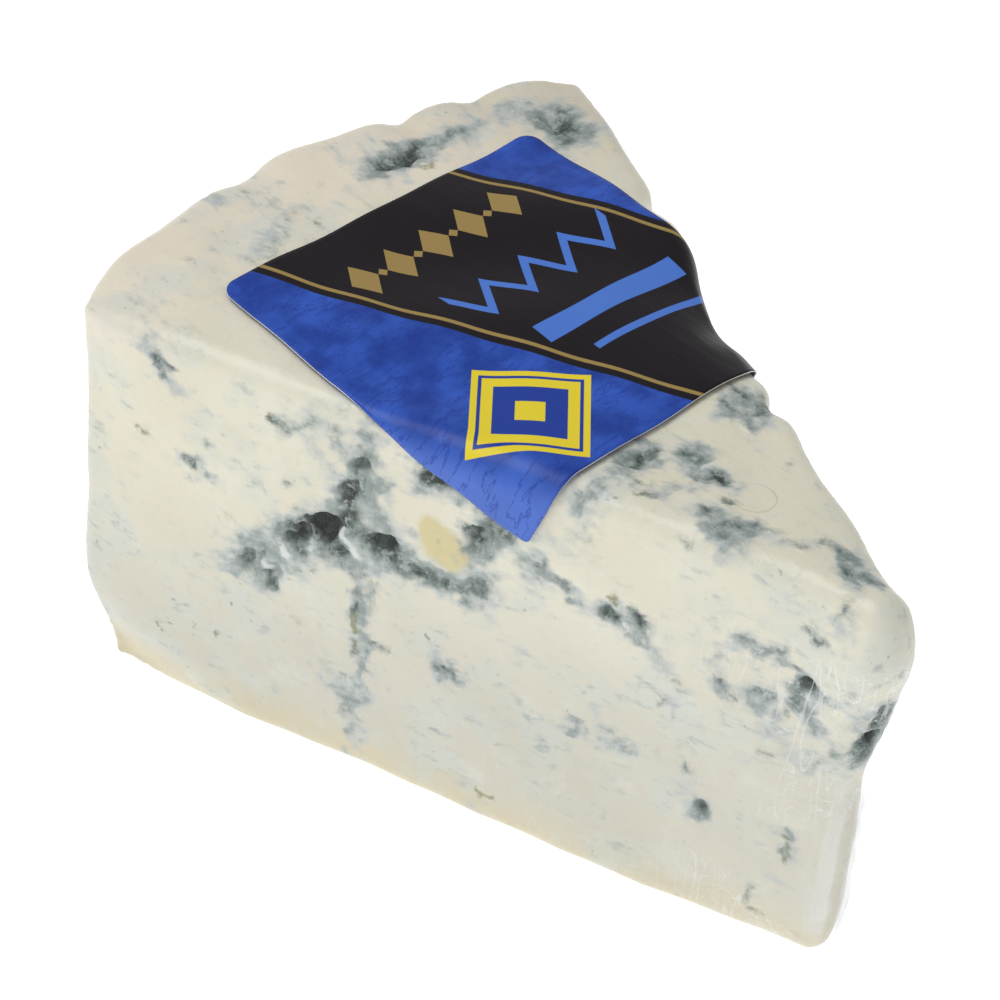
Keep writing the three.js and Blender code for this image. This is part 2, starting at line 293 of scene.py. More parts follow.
mould_marks = on_face("front", [
    # the crevice across the front face: its upper arm, its ceiling, its floor and its left end
    ([(39.8, 50.6), (39.5, 48.4), (39, 46.6)], 0.6, 0.8),
    ([(39, 46.4), (38.5, 44.6), (38.1, 43.2)], 1.0, 1.05),
    ([(39.3, 44.6), (39.4, 42.2), (38.9, 40.9)], 0.65, 1.0),
    ([(30.2, 36.3), (32.6, 38.1), (35.2, 38.6)], 0.45, 0.85),
    ([(35.2, 38.7), (37.1, 39.2), (39, 40.6)], 0.75, 1.05),
    ([(31.7, 35.6), (32.7, 34.1), (33.4, 33.2)], 0.75, 0.85),
    ([(33.4, 37.2), (35.3, 36.6), (37.2, 36.2)], 1.2, 0.8),
    ([(37.3, 34.4), (38.6, 33.6)], 0.65, 0.75),
    ([(40.6, 39.4), (41.7, 38.4), (43, 37.7), (44.3, 37.9)], 1.0, 0.9),
    ([(44.8, 39.1), (44.6, 36.9)], 0.65, 0.8),
    ([(24.5, 27.6), (26.5, 27.8)], 0.55, 0.8),
    ([(27.8, 30.5), (27.2, 29.4)], 0.55, 0.85),
    ([(26.8, 27.1), (28.1, 27)], 0.35, 0.7),
    ([(28.3, 26.8), (29.1, 25.6)], 0.55, 0.95),
    # the arm that runs on to the right, and the patches round the wax
    ([(45.2, 36.2), (46, 35.5)], 0.65, 0.8),
    ([(47, 37.2), (48.4, 36.9)], 0.45, 0.95),
    ([(48.4, 36.8), (49.8, 36.2), (50.8, 36.4)], 0.75, 0.95),
    ([(52.6, 36.3), (53.9, 36), (55.5, 36.9)], 0.75, 0.9),
    ([(55.6, 37.2), (55.9, 38.6)], 0.65, 0.9),
    ([(47.4, 52.8), (47.9, 51.4)], 0.55, 0.85),
    ([(47.9, 51.2), (49.2, 51), (50.7, 51.9)], 1.05, 1.0),
    ([(50.8, 52), (52.4, 51.8)], 0.55, 0.8),
    ([(54.2, 51), (55.2, 50.3), (56.4, 49.3)], 0.75, 0.75),
    ([(53.4, 46.1), (54, 44.9)], 0.75, 0.95),
    ([(54.2, 44.6), (55.2, 43.4)], 0.85, 0.9),
    ([(55.9, 47.4), (57.5, 47.3)], 1.15, 0.8),
    ([(57.6, 47.4), (59, 47.7)], 0.85, 0.65),
    # the crack below it and the edge of its pale column
    ([(40.2, 31.4), (40.3, 29.2), (40.1, 27)], 0.3, 0.85),
    ([(40.8, 22.6), (40.1, 21.8), (40, 20.4)], 0.25, 0.5),
    ([(41.9, 32.4), (42.4, 28.1)], 0.3, 0.5),
    ([(41.7, 26.2), (41.9, 22.7), (41.7, 20.5), (41.2, 16.9)], 0.4, 0.55),
    ([(42.7, 23.3), (43.2, 22.5), (44.2, 22.8)], 0.35, 0.8),
    ([(37, 12.4), (38.4, 11.9)], 0.3, 0.55),
    ([(38.2, 10.3), (39.2, 11.5), (40.8, 11.8)], 0.35, 0.78),
    ([(38.4, 9.3), (38.5, 8.6)], 0.4, 0.65),
    ([(39.8, 6.1), (39.9, 5.5)], 0.35, 0.55),
    ([(35.7, 15.7), (38, 16.8)], 0.25, 0.4),
    ([(36.7, 14.6), (38.4, 15.2)], 0.25, 0.45),
    # towards the rind
    ([(13.3, 53.4), (14, 52.6), (15.5, 52.8)], 0.4, 0.9),
    ([(14.4, 52.2), (14.9, 50.9)], 0.4, 0.8),
    ([(10, 41.1), (11.6, 41.2)], 0.35, 0.65),
    ([(17.7, 40.6), (18.5, 39.8)], 0.55, 0.95),
    ([(18.1, 40.1), (18.2, 39.1)], 0.35, 0.8),
    ([(20, 38.5), (20.7, 38.2)], 0.3, 0.75),
    ([(29.9, 58.3), (30.1, 57.7)], 0.45, 0.8),
    ([(34.8, 57), (37.1, 56.3)], 0.4, 0.85),
    ([(28.8, 51.2), (30.5, 50.3)], 0.5, 0.85),
    ([(31.5, 51.4), (34.9, 53.3), (36.5, 52.8)], 0.75, 0.5),
    ([(33.3, 49.9), (34.6, 48.8)], 0.35, 0.5),
    ([(41, 57.4), (41.1, 56.6)], 0.6, 0.85),
    ([(39.5, 54.1), (40.8, 53.2)], 0.6, 0.6),
    ([(20.3, 44.2), (20.5, 43.9)], 0.3, 0.6),
    ([(27, 41.2), (27.4, 40.9)], 0.35, 0.6),
    ([(30.8, 43), (31.3, 42.8)], 0.35, 0.65),
    ([(6.4, 26.8), (7.1, 26.3)], 0.4, 0.5),
    ([(31.6, 21.7), (32.4, 21.3)], 0.4, 0.5),
    ([(28.2, 23.7), (28.8, 23.2)], 0.35, 0.55),
    ([(22.6, 34.4), (23.4, 33.6)], 0.4, 0.4),
    # the middle of the front face
    ([(50.6, 23.9), (51, 23.2)], 0.45, 0.8),
    ([(52, 23.4), (52.9, 22.6)], 0.5, 0.85),
    ([(53.8, 22.8), (54.3, 22)], 0.35, 0.6),
    ([(61.5, 44.3), (63, 45.4)], 0.4, 0.85),
    ([(63.6, 44.6), (65.6, 43.2)], 0.4, 0.65),
    ([(67.2, 59.3), (67.9, 59), (67.8, 58.4)], 0.45, 0.95),
    ([(66.1, 57.8), (66.1, 56.9)], 0.35, 0.8),
    ([(66.5, 55.7), (66.5, 55.3)], 0.4, 0.85),
    ([(65.9, 50.7), (67, 51)], 0.35, 0.65),
    ([(70.6, 41.7), (72.2, 42.3)], 0.75, 0.95),
    ([(73.6, 44.2), (74.5, 43.5)], 0.5, 0.75),
    ([(74.5, 43.5), (75.3, 42.8)], 0.5, 0.9),
    ([(75.4, 42.4), (75.5, 40.2)], 0.28, 0.7),
    ([(73.2, 40.4), (75.2, 39.7)], 0.3, 0.65),
    ([(76.3, 39), (78.1, 37.3)], 0.3, 0.5),
    ([(79.8, 36), (80.5, 35.8)], 0.35, 0.65),
    ([(78.6, 32.4), (77.7, 31.2)], 0.25, 0.65),
    ([(71.8, 24.3), (73, 24.1)], 0.28, 0.7),
    ([(78.1, 55.5), (78.4, 55.1)], 0.35, 0.75),
    ([(67.8, 22.8), (68.6, 21.4)], 0.4, 0.8),
    ([(74, 22.4), (74.4, 21.6)], 0.3, 0.5),
    ([(82, 23.4), (82.6, 22.4)], 0.4, 0.75),
    ([(84.8, 18.2), (85.2, 17.2)], 0.7, 1.0),
    # towards the tip
    ([(86.5, 44.9), (87.3, 45.8)], 0.4, 0.85),
    ([(87.2, 44.6), (87.6, 44)], 0.35, 0.75),
    ([(89.1, 45), (91.4, 45.9)], 0.35, 0.75),
    ([(91.2, 45), (92.8, 44.2)], 0.35, 0.65),
    ([(83.8, 42.1), (85.5, 41.3)], 0.25, 0.45),
    ([(84.6, 38), (85.7, 36.8), (86.6, 36.4)], 0.3, 0.7),
    ([(88.8, 38.4), (90.3, 38.4)], 0.6, 0.85),
    ([(89, 38), (89, 36.8)], 0.3, 0.6),
    ([(94.1, 42.5), (93.6, 40.2)], 0.8, 1.05),
    ([(93.3, 39), (92.8, 37.6)], 0.3, 0.6),
    ([(94.3, 39.6), (95.5, 37.2)], 0.35, 0.65),
    ([(95.3, 43.1), (96.1, 42.1)], 0.5, 0.7),
    ([(96.8, 41.7), (97.8, 41.3)], 0.28, 0.7),
    ([(90.4, 30.4), (93.6, 31.1)], 0.28, 0.55),
    ([(98.5, 34.7), (101, 35.6)], 0.3, 0.7),
    ([(97.6, 33.5), (96.7, 31)], 0.3, 0.45),
    ([(92.3, 9), (92, 6.4), (92.2, 5), (93.4, 4.4)], 0.3, 0.8),
    ([(102, 27.4), (102.2, 26.4)], 0.35, 0.6),
    ([(102.4, 18.2), (102.6, 17)], 0.4, 0.7),
    ([(90, 57.4), (90.4, 56.8)], 0.4, 0.85),
    ([(93.2, 50.4), (94.2, 50.1)], 0.4, 0.9),
    ([(94.2, 50), (95.6, 49.6)], 0.28, 0.7),
    ([(96.8, 56.3), (97.1, 55)], 0.32, 0.85),
    ([(96.1, 54.3), (97.6, 52.8), (98.8, 51.3)], 0.32, 0.65),
    ([(97.5, 50.6), (97.7, 50.2)], 0.35, 0.5),
])
mould_marks += on_face("tip", [
    ([(-0.5, 42.6), (-0.4, 40.8)], 0.9, 1.0),
    ([(-0.6, 38.6), (-0.9, 34.8)], 1.4, 0.95),
])
mould_marks += on_face("top", [
    # on top, past the label
    ([(15.9, -7.8), (16.7, -6.9), (16.1, -5.5)], 0.38, 0.85),
    ([(16.1, -5.4), (16, -4.3)], 0.65, 1.0),
    ([(16, -4.2), (16.1, -3.3)], 0.4, 0.9),
    ([(15, -6.9), (15.1, -5.9)], 0.65, 0.6),
    ([(14.1, -4.1), (15.3, -2.6)], 0.4, 0.7),
    ([(16.7, -9.2), (17.6, -8.9)], 0.7, 0.55),
    ([(17.9, -8.5), (19.1, -8.5)], 0.3, 0.75),
    ([(19.2, -8.5), (20.3, -7.1), (21.1, -5.4)], 0.35, 0.5),
    ([(20.5, -10.3), (21.6, -8.2)], 0.4, 0.45),
    ([(17.8, -1.1), (18.2, -0.7)], 0.6, 0.85),
    ([(19, -0.7), (20, -0.5), (20.4, 0.7)], 0.38, 0.9),
    ([(18.9, 0.6), (20, 1.1)], 0.6, 0.6),
    ([(21.5, -2.8), (22.4, -2.4), (22.4, -0.9)], 0.38, 0.95),
    ([(22.4, -0.8), (23.8, -0.8)], 0.5, 1.05),
    ([(18.5, 8.2), (19.2, 7.7)], 0.4, 0.75),
    ([(25.7, 7), (26.2, 6.7)], 0.4, 0.65),
    ([(30.2, 7.5), (30.8, 7.1)], 0.35, 0.5),
    ([(26.9, -3.3), (27.5, -2.9)], 0.45, 0.88),
    ([(26.2, -5.8), (26.4, -5.5)], 0.5, 0.75),
    ([(27.2, -7), (28, -6.7)], 0.9, 0.5),
    ([(29, -6.4), (29.8, -5.2), (30.6, -4.8)], 0.55, 0.85),
    ([(31.2, -3.9), (31.5, -2.9)], 0.45, 0.88),
    ([(30.8, -6.6), (31.4, -6.3)], 0.8, 0.55),
    ([(33.3, -1.9), (33.7, -1.7)], 0.35, 0.75),
    ([(35.6, -2.4), (36.2, -2.1)], 0.8, 0.55),
    ([(37.5, 0.6), (38.3, 1.2), (40.3, 1.7)], 0.38, 0.7),
    ([(40.9, 1.2), (42.5, 1.3), (44.4, 1.1)], 0.9, 0.7),
    ([(42, -0.3), (42.4, -0.1)], 0.45, 1.0),
    ([(44.4, 0.6), (44.6, 1.2)], 0.5, 0.85),
    ([(52.5, -2.8), (53.9, -2.6)], 0.45, 0.6),
    ([(22, -20.4), (22.6, -20.6)], 0.45, 0.65),
    ([(29, -12.4), (29.6, -12.8)], 0.4, 0.6),
    ([(14.1, 11.2), (15, 11)], 0.55, 1.0),
    ([(15.9, 12.9), (17.7, 11.4)], 0.55, 0.9),
    ([(14.6, 7.8), (17.4, 9.6), (18.1, 11)], 0.38, 0.95),
    ([(15.5, 9.8), (17, 11)], 1.1, 0.55),
    # on top, between the label and the rind
    ([(-37.4, 31), (-35.6, 29.6), (-33.4, 28.4)], 1.3, 0.9),
    ([(-38.8, 28), (-37.6, 27)], 0.8, 0.7),
    ([(-43.4, 27.6), (-43.6, 25.4)], 0.4, 0.6),
    ([(-42.5, 18.4), (-43, 16), (-43.4, 12)], 0.8, 0.65),
    ([(-43, 12), (-42.5, 10), (-42.2, 6)], 1.1, 0.95),
    ([(-44.2, 4.6), (-43.8, 3.4)], 0.6, 0.55),
    ([(-41, -9.2), (-40.8, -10)], 0.5, 0.55),
    ([(-39.4, -11.8), (-38.6, -12.4)], 0.4, 0.6),
    ([(-37.5, -14.4), (-36.2, -15.8), (-36, -18.6)], 0.45, 0.5),
    ([(-40.5, -24.7), (-40.4, -25)], 0.35, 0.6),
    ([(-48.2, -10.2), (-48.6, -10.9)], 0.5, 0.5),
])
print(len(mould_marks), "dark marks")

# %% Pale haze, olive, wax and chalk
haze_marks = on_face("front", [
    # the column along the crack, and the crevice's surroundings
    ([(40.6, 60), (40.8, 50)], 1.4, 0.9),
    ([(41.2, 50), (41.8, 44), (41.9, 39.2)], 1.8, 1.0),
    ([(40.9, 33.4), (41.4, 23), (41, 16)], 0.8, 0.95),
    ([(40.8, 16), (40.2, 10), (40.2, 5.5)], 1.5, 0.8),
    ([(36, 13.4), (39, 12.6)], 1.5, 0.75),
    ([(26, 31), (30, 34), (35, 36)], 2.0, 0.9),
    ([(27, 28.6), (30, 29), (33, 31)], 1.2, 0.7),
    ([(44, 42), (46, 39.6)], 1.4, 0.8),
    ([(46, 36.6), (50, 35.4), (54, 35)], 1.2, 0.6),
    ([(58, 47), (60.6, 44), (62, 40)], 1.5, 0.7),
    # towards the rind
    ([(11.4, 56.4), (13.6, 53.6), (16.9, 50)], 1.3, 0.8),
    ([(19, 39.4), (22.3, 38.3)], 0.8, 0.8),
    ([(12, 41), (15, 39)], 0.6, 0.45),
    ([(29.8, 57.6), (30.2, 57)], 0.9, 0.7),
    ([(31, 52), (35, 53), (38.4, 51)], 1.5, 0.7),
    ([(33, 50), (35.4, 47.6)], 0.9, 0.5),
    ([(20, 26.5), (22, 26)], 1.2, 0.4),
    ([(7, 27), (9, 26)], 1.0, 0.4),
    ([(26.6, 41.4), (31.6, 42.6)], 0.8, 0.35),
    # the middle
    ([(46.4, 14.9), (49.6, 14.2)], 1.0, 0.6),
    ([(51, 24.4), (53.6, 23.6)], 1.3, 0.75),
    ([(62, 45.4), (65, 44), (67.6, 42)], 1.0, 0.85),
    ([(66.2, 58), (67.2, 57)], 1.3, 1.0),
    ([(66.8, 54.4), (67.4, 50)], 0.8, 0.6),
    ([(57, 33), (60, 32), (61, 29)], 1.3, 0.55),
    ([(60, 18), (63, 18.6)], 1.0, 0.5),
    ([(70, 16.6), (74, 16.4)], 1.2, 0.6),
    ([(74, 43), (75, 40)], 1.0, 0.9),
    ([(75.5, 38.4), (78, 36.8)], 1.1, 0.7),
    ([(80.3, 31.8), (80.1, 29.7)], 1.2, 0.65),
    ([(83.5, 29.5), (84, 29)], 0.9, 0.5),
    ([(71, 25.8), (72, 24)], 1.3, 0.65),
    ([(70.7, 20.9), (73.3, 22), (75.3, 23.1)], 1.0, 0.8),
    ([(64, 30), (68, 28)], 1.2, 0.4),
    ([(60, 52), (64, 50), (68, 49)], 1.3, 0.4),
    # towards the tip
    ([(83.8, 42.4), (83.6, 39.6), (85, 37)], 0.9, 0.7),
    ([(88, 43.4), (88.6, 42)], 0.8, 0.7),
    ([(88.6, 45), (91, 45.4), (93.2, 43.8)], 1.0, 0.8),
    ([(88.6, 37.6), (91.3, 36.8)], 1.1, 0.7),
    ([(94, 40), (95.5, 37.4)], 1.3, 0.8),
    ([(95.4, 43), (96.6, 41.8)], 0.9, 0.85),
    ([(92, 34), (96, 31)], 1.5, 0.7),
    ([(84.2, 19.4), (85.8, 16.4)], 1.1, 0.65),
    ([(79, 22.6), (83, 20.4)], 1.1, 0.5),
    ([(92, 14), (96, 11)], 1.4, 0.5),
    ([(88, 28.6), (89, 27.6)], 1.1, 0.5),
    ([(90.4, 53.5), (92, 53.2)], 0.8, 0.75),
    ([(91, 56), (91.6, 55.4)], 0.8, 0.5),
    ([(96.4, 54), (98.4, 51.3), (98.4, 47.6)], 0.8, 0.6),
    ([(92.6, 50.8), (94.4, 49.8)], 0.7, 0.6),
])
haze_marks += on_face("top", [
    # on top
    ([(14.6, 10.6), (18, 9.4)], 1.9, 0.85),
    ([(15, -3.4), (15.2, -7)], 1.2, 0.95),
    ([(17, -9), (20, -9), (22, -6.4)], 0.9, 0.75),
    ([(21.6, -6.6), (23, -4.8)], 0.9, 0.8),
    ([(18.8, 0.8), (20.6, -1.8), (22.6, -2)], 1.1, 0.95),
    ([(26.6, -5.8), (27.8, -6.9), (30.8, -6.6)], 1.2, 0.95),
    ([(29, -6), (31.6, -3.4)], 0.8, 0.8),
    ([(33.6, -2), (36.4, -2.2)], 1.0, 0.6),
    ([(36.6, 0.2), (40, 1.4)], 1.0, 0.6),
    ([(40.8, 1.2), (44.4, 1)], 1.2, 1.0),
    ([(25, 6.8), (27, 6.6)], 0.8, 0.45),
    ([(18, 7.8), (20, 7.4)], 0.9, 0.5),
    ([(44, -4), (50, -8)], 1.1, 0.45),
    ([(-41, 26), (-37, 29), (-33, 30.6)], 2.4, 0.85),
    ([(-44, 25.6), (-43, 28)], 1.2, 0.6),
    ([(-42.4, 20), (-43.4, 12), (-42.4, 4)], 2.0, 0.9),
    ([(-44.5, 3), (-40, 6)], 1.4, 0.5),
    ([(-41, -9), (-38, -14), (-36, -19)], 1.4, 0.6),
    ([(-40.5, 0), (-38.4, -6)], 1.3, 0.45),
])
olive_marks = on_face("front", [
    ([(40.1, 27), (40.1, 25.4), (40.4, 23.7)], 0.4, 1.0),
    ([(40.7, 22.5), (40.1, 21.6), (40, 20.2)], 0.38, 0.9),
    ([(28, 51.5), (29, 51)], 0.55, 0.85),
    ([(24.6, 27.2), (26, 27)], 0.5, 0.7),
    ([(32.6, 30.8), (34.8, 31.4)], 0.5, 0.5),
    ([(10, 41.1), (11.4, 41.3)], 0.45, 0.8),
    ([(17.8, 40), (18.4, 39)], 0.5, 0.5),
    ([(13, 11.8), (13.6, 11)], 0.45, 0.8),
    ([(15, 13.2), (15.2, 12.2)], 0.4, 0.75),
    ([(17.8, 14.2), (18.2, 11.8)], 0.45, 0.75),
    ([(21.4, 14), (21.6, 12.8)], 0.4, 0.7),
    ([(67, 25.4), (67.6, 24)], 0.35, 0.75),
    ([(60.4, 20.4), (60.6, 19.6)], 0.35, 0.6),
    ([(71.2, 44.5), (71.8, 43.6)], 0.7, 0.75),
    ([(81.6, 24), (82.4, 23)], 0.5, 0.7),
    ([(88.8, 21.8), (89.3, 21.1)], 0.4, 0.55),
    ([(95, 18.6), (95.5, 16.4), (95.8, 14.8)], 0.5, 0.62),
    ([(56.8, 5.4), (59.6, 5.2)], 0.5, 0.7),
    ([(57, 49.6), (59, 48.6)], 0.7, 0.6),
])
olive_marks += on_face("top", [
    ([(26.1, -5.7), (26.6, -5.9)], 0.7, 0.7),
    ([(20.4, -10.4), (21.6, -8.4)], 0.5, 0.6),
    ([(17.6, -1.2), (18, -0.8)], 0.5, 0.55),
    ([(35.4, -2.6), (36.2, -2)], 0.8, 0.45),
    ([(-39.8, 11.6), (-39.2, 10.4)], 0.9, 0.7),
    ([(-38.6, -4.6), (-38, -7.4)], 0.7, 0.4),
    ([(-34.6, 28.4), (-33.4, 29)], 0.7, 0.55),
])
olive_marks += on_face("tip", [
    ([(-0.9, 37.6), (-1, 34.6)], 1.3, 0.5),
])
wax_marks = on_face("front", [
    ([(49.8, 43.2), (51.2, 41.2)], 1.9, 1.0),
    ([(48.6, 44.6), (49.6, 43.4)], 0.9, 0.5),
    ([(101.7, 31.3), (101.8, 30.8)], 0.4, 0.8),
])
chalk_marks = on_face("front", [
    ([(37.8, 38.6), (39.4, 37.2), (40, 35.6)], 0.6, 1.0),
    ([(30.4, 33.6), (31, 32.2)], 1.0, 0.9),
    ([(33.8, 34.8), (35, 34.2)], 0.6, 0.8),
    ([(27.6, 28.6), (29.4, 27.8)], 0.8, 0.85),
    ([(46, 40.6), (45.4, 42)], 0.8, 0.6),
    ([(51, 35.4), (51.8, 34.8)], 0.7, 0.7),
    ([(72.8, 42.4), (73.3, 41.2)], 0.5, 0.95),
    ([(92, 48), (93, 46), (94.4, 44)], 0.4, 0.6),
    ([(101.4, 40), (101.8, 39)], 0.7, 0.7),
])
chalk_marks += on_face("top", [
    ([(21.1, -1.1), (21.5, 0.5)], 0.5, 0.85),
])
print(len(haze_marks), "hazy,", len(olive_marks), "olive,", len(wax_marks), "waxy marks")

# %% [markdown]
# The faces that are out of sight carry the same kinds of mark. A seeded draw starts clusters along
# each face, and each cluster walks a few short steps and drops a haze, a dark core and now and then
# an olive fleck. One straight run of mould stands for the needle that let the air in.

# %% Marks on the faces out of sight
scatter = random.Random(23)
faces_out_of_sight = [
    ("back", (6, 100), (6, 54), 44),
    ("under", (-44, 46), (-26, 26), 16),
    ("rind", (-38, 38), (5, 52), 15),
    ("top", (-30, 10), (-20, 20), 8),
]


def cluster(face, across, up):
    heading = scatter.uniform(0, math.tau)
    reach = scatter.uniform(0.8, 2.6)
    walk = [(across, up)]
    for _ in range(scatter.randint(1, 3)):
        heading += scatter.uniform(-1.0, 1.0)
        last = walk[-1]
        walk.append((last[0] + reach * math.cos(heading), last[1] + reach * math.sin(heading)))
    strength = scatter.uniform(0.5, 1.0)
    haze_marks.append((face, walk, scatter.uniform(0.9, 2.0), scatter.uniform(0.5, 0.9)))
    mould_marks.append((face, walk, scatter.uniform(0.35, 1.0), strength))
    if scatter.random() < 0.3:
        olive_marks.append((face, walk[:2], scatter.uniform(0.3, 0.7), 0.7))


def inside_wedge(face, across, up):
    if face != "under":
        return True
    return abs(up) < (centre_x - across) * math.tan(half_angle) - 4


for face, across_range, up_range, count in faces_out_of_sight:
    for _ in range(count):
        across, up = scatter.uniform(*across_range), scatter.uniform(*up_range)
        if inside_wedge(face, across, up):
            cluster(face, across, up)
for face, across, height, long, wide, depth, tilt in holes:
    half = 0.36 * long
    run, rise = half * math.cos(math.radians(tilt)), half * math.sin(math.radians(tilt))
    ends = [(across - run, height - rise), (across + run, height + rise)]
    in_sight = face in ("front", "top", "tip")
    mould_marks.append((face, ends, 0.4 * wide, 0.4 if in_sight else 0.8))
    haze_marks.append((face, ends, 0.45 * wide + 0.5, 0.9))
mould_marks.append(("back", [(62, 52), (62.4, 40), (61.8, 28), (62.2, 12)], 0.5, 0.9))
haze_marks.append(("back", [(62.6, 53), (62.2, 30), (62.6, 9)], 1.6, 0.85))
print(len(mould_marks), "dark marks in all")

# %% [markdown]
# The dense mesh is made from a plain section. A rectangle from the blunt tip to the rind is spun
# about the wheel's axis through the angle of the cut, its two open ends are closed, and a voxel
# remesh turns it into even small squares. Rounding, swell and holes are then moves of its vertices.
# A sculpted mesh would do as well, but moves in code can be repeated and measured.

# %% A sharp wedge, spun from a rectangle
def spun_wedge(name):
    wedge = bmesh.new()
    inner, outer = centre_x - tip_blunt, centre_x - wheel_radius
    corners = [(inner, 0), (outer, 0), (outer, wedge_height), (inner, wedge_height)]
    section = wedge.faces.new([wedge.verts.new((x, 0, z)) for x, z in corners])
    axis = (0, 0, 1)
    bmesh.ops.rotate(wedge, verts=wedge.verts, cent=wheel_centre,
                     matrix=Matrix.Rotation(-half_angle, 3, "Z"))
    bmesh.ops.spin(wedge, geom=[section, *section.edges, *section.verts], cent=wheel_centre,
                   axis=axis, angle=2 * half_angle, steps=24, use_duplicate=False)
    open_edges = [edge for edge in wedge.edges if edge.is_boundary]
    if open_edges:
        bmesh.ops.contextual_create(wedge, geom=open_edges)
    bmesh.ops.recalc_face_normals(wedge, faces=wedge.faces)
    mesh = bpy.data.meshes.new(name)
    wedge.to_mesh(mesh)
    wedge.free()
    return mesh


def remeshed(mesh, voxel):
    """The mesh as even squares of about this size, in millimetres."""
    holder = bpy.data.objects.new("holder", mesh)
    bpy.context.scene.collection.objects.link(holder)
    remesh = holder.modifiers.new("even squares", "REMESH")
    remesh.mode = "VOXEL"
    remesh.voxel_size = voxel
    evaluated = holder.evaluated_get(bpy.context.evaluated_depsgraph_get())
    even = bpy.data.meshes.new_from_object(evaluated)
    bpy.data.objects.remove(holder)
    return even


def places(mesh):
    flat = np.empty(len(mesh.vertices) * 3)
    mesh.vertices.foreach_get("co", flat)
    return flat.reshape(-1, 3)


def move_to(mesh, points):
    mesh.vertices.foreach_set("co", np.ascontiguousarray(points, dtype=np.float32).ravel())
    mesh.update()


cheese_voxel = 0.56
block = spun_wedge("block")
print("the sharp wedge has", len(block.polygons), "faces")
cheese_mesh = remeshed(block, cheese_voxel)
print("even squares:", len(cheese_mesh.polygons))

# %% [markdown]
# The holes are pressed in rather than cut out: each vertex near one moves straight into its face,
# deepest in the middle, with a ragged rim. A Boolean cut gives sharper rims but long thin faces,
# and a second remesh evens out the stretched walls either way. Blender's noise starts from the
# clock unless it is given a seed, and each run would then be another cheese.

# %% Pressing in the holes
noise_seed = 2
noise.seed_set(noise_seed)


def rough(points, grain, seed=0.0):
    """Noise of about that grain, in millimetres, as three numbers from -1 to 1."""
    return np.array([noise.noise_vector(Vector(point) / grain + Vector((seed, 0, 0)))
                     for point in points])


def smooth(value, low, high):
    share = np.clip((value - low) / (high - low), 0, 1)
    return share * share * (3 - 2 * share)


face_out = {
    "front": lambda p: np.array([sine, -cosine, 0.0]),
    "back": lambda p: np.array([sine, cosine, 0.0]),
    "top": lambda p: np.array([0.0, 0.0, 1.0]),
    "under": lambda p: np.array([0.0, 0.0, -1.0]),
    "tip": lambda p: np.array([1.0, 0.0, 0.0]),
    "rind": lambda p: unit((p - wheel_centre) * [1, 1, 0]),
}
hole_limit = 9.0
rim_sway, rim_sway_grain = 1.7, 2.3
rim_tear, rim_tear_grain = 1.1, 1.1
crumb_grain, small_crumb_grain = 2.1, 1.1
small_crumb_share = 0.8
floor_from, floor_to = 0.5, 0.98


def press_holes(points):
    ragged = points + rim_sway * rough(points, rim_sway_grain)
    ragged = ragged + rim_tear * rough(points, rim_tear_grain, 5.0)
    crumbs = rough(points, crumb_grain, 9.0)[:, 0]
    crumbs = crumbs + small_crumb_share * rough(points, small_crumb_grain, 8.0)[:, 1]
    moved = points.copy()
    for face, across, up, long, wide, depth, tilt in holes:
        u, v, deep = rulers[face](ragged)
        near = (np.abs(u - across) < long) & (np.abs(v - up) < long) & (deep > -hole_limit)
        du, dv = u[near] - across, v[near] - up
        turn = math.radians(tilt)
        along = du * math.cos(turn) + dv * math.sin(turn)
        over = dv * math.cos(turn) - du * math.sin(turn)
        share = np.hypot(along / (long / 2), over / (wide / 2))
        floor = 1 - smooth(share, floor_from, floor_to)
        push = depth * floor * np.maximum(0.75 + 1.5 * crumbs[near], 0)
        out = face_out[face](points[near])
        moved[near] -= push[:, None] * out
    return moved


points = shaped(places(cheese_mesh), -cheese_inset)
points = press_holes(points)
move_to(cheese_mesh, points)
cheese_mesh = remeshed(cheese_mesh, cheese_voxel)
print("after the holes:", len(cheese_mesh.polygons), "squares")

# %% [markdown]
# The marks become five numbers at every vertex: how much dark mould, haze, olive, wax and chalk
# there is. They are soft fields, and the material breaks their edges up with noise, so the mesh
# needn't be as fine as the smallest fleck. Distance is measured on the face, and depth counts less,
# which lets a mark run down the wall of its hole. Each dark mark also spreads a halo of haze.

# %% Marks as numbers on the vertices
depth_share = 0.4
stroke_spread = 1.5
sway_grain, tear_grain = 2.1, 0.9
overlap_share = 0.25


def stroke_distance(u, v, path):
    nearest = np.full(len(u), np.inf)
    for (u0, v0), (u1, v1) in zip(path, path[1:]):
        run_u, run_v = u1 - u0, v1 - v0
        span = max(run_u * run_u + run_v * run_v, 1e-9)
        share = np.clip(((u - u0) * run_u + (v - v0) * run_v) / span, 0, 1)
        nearest = np.minimum(nearest, np.hypot(u - u0 - share * run_u, v - v0 - share * run_v))
    return nearest


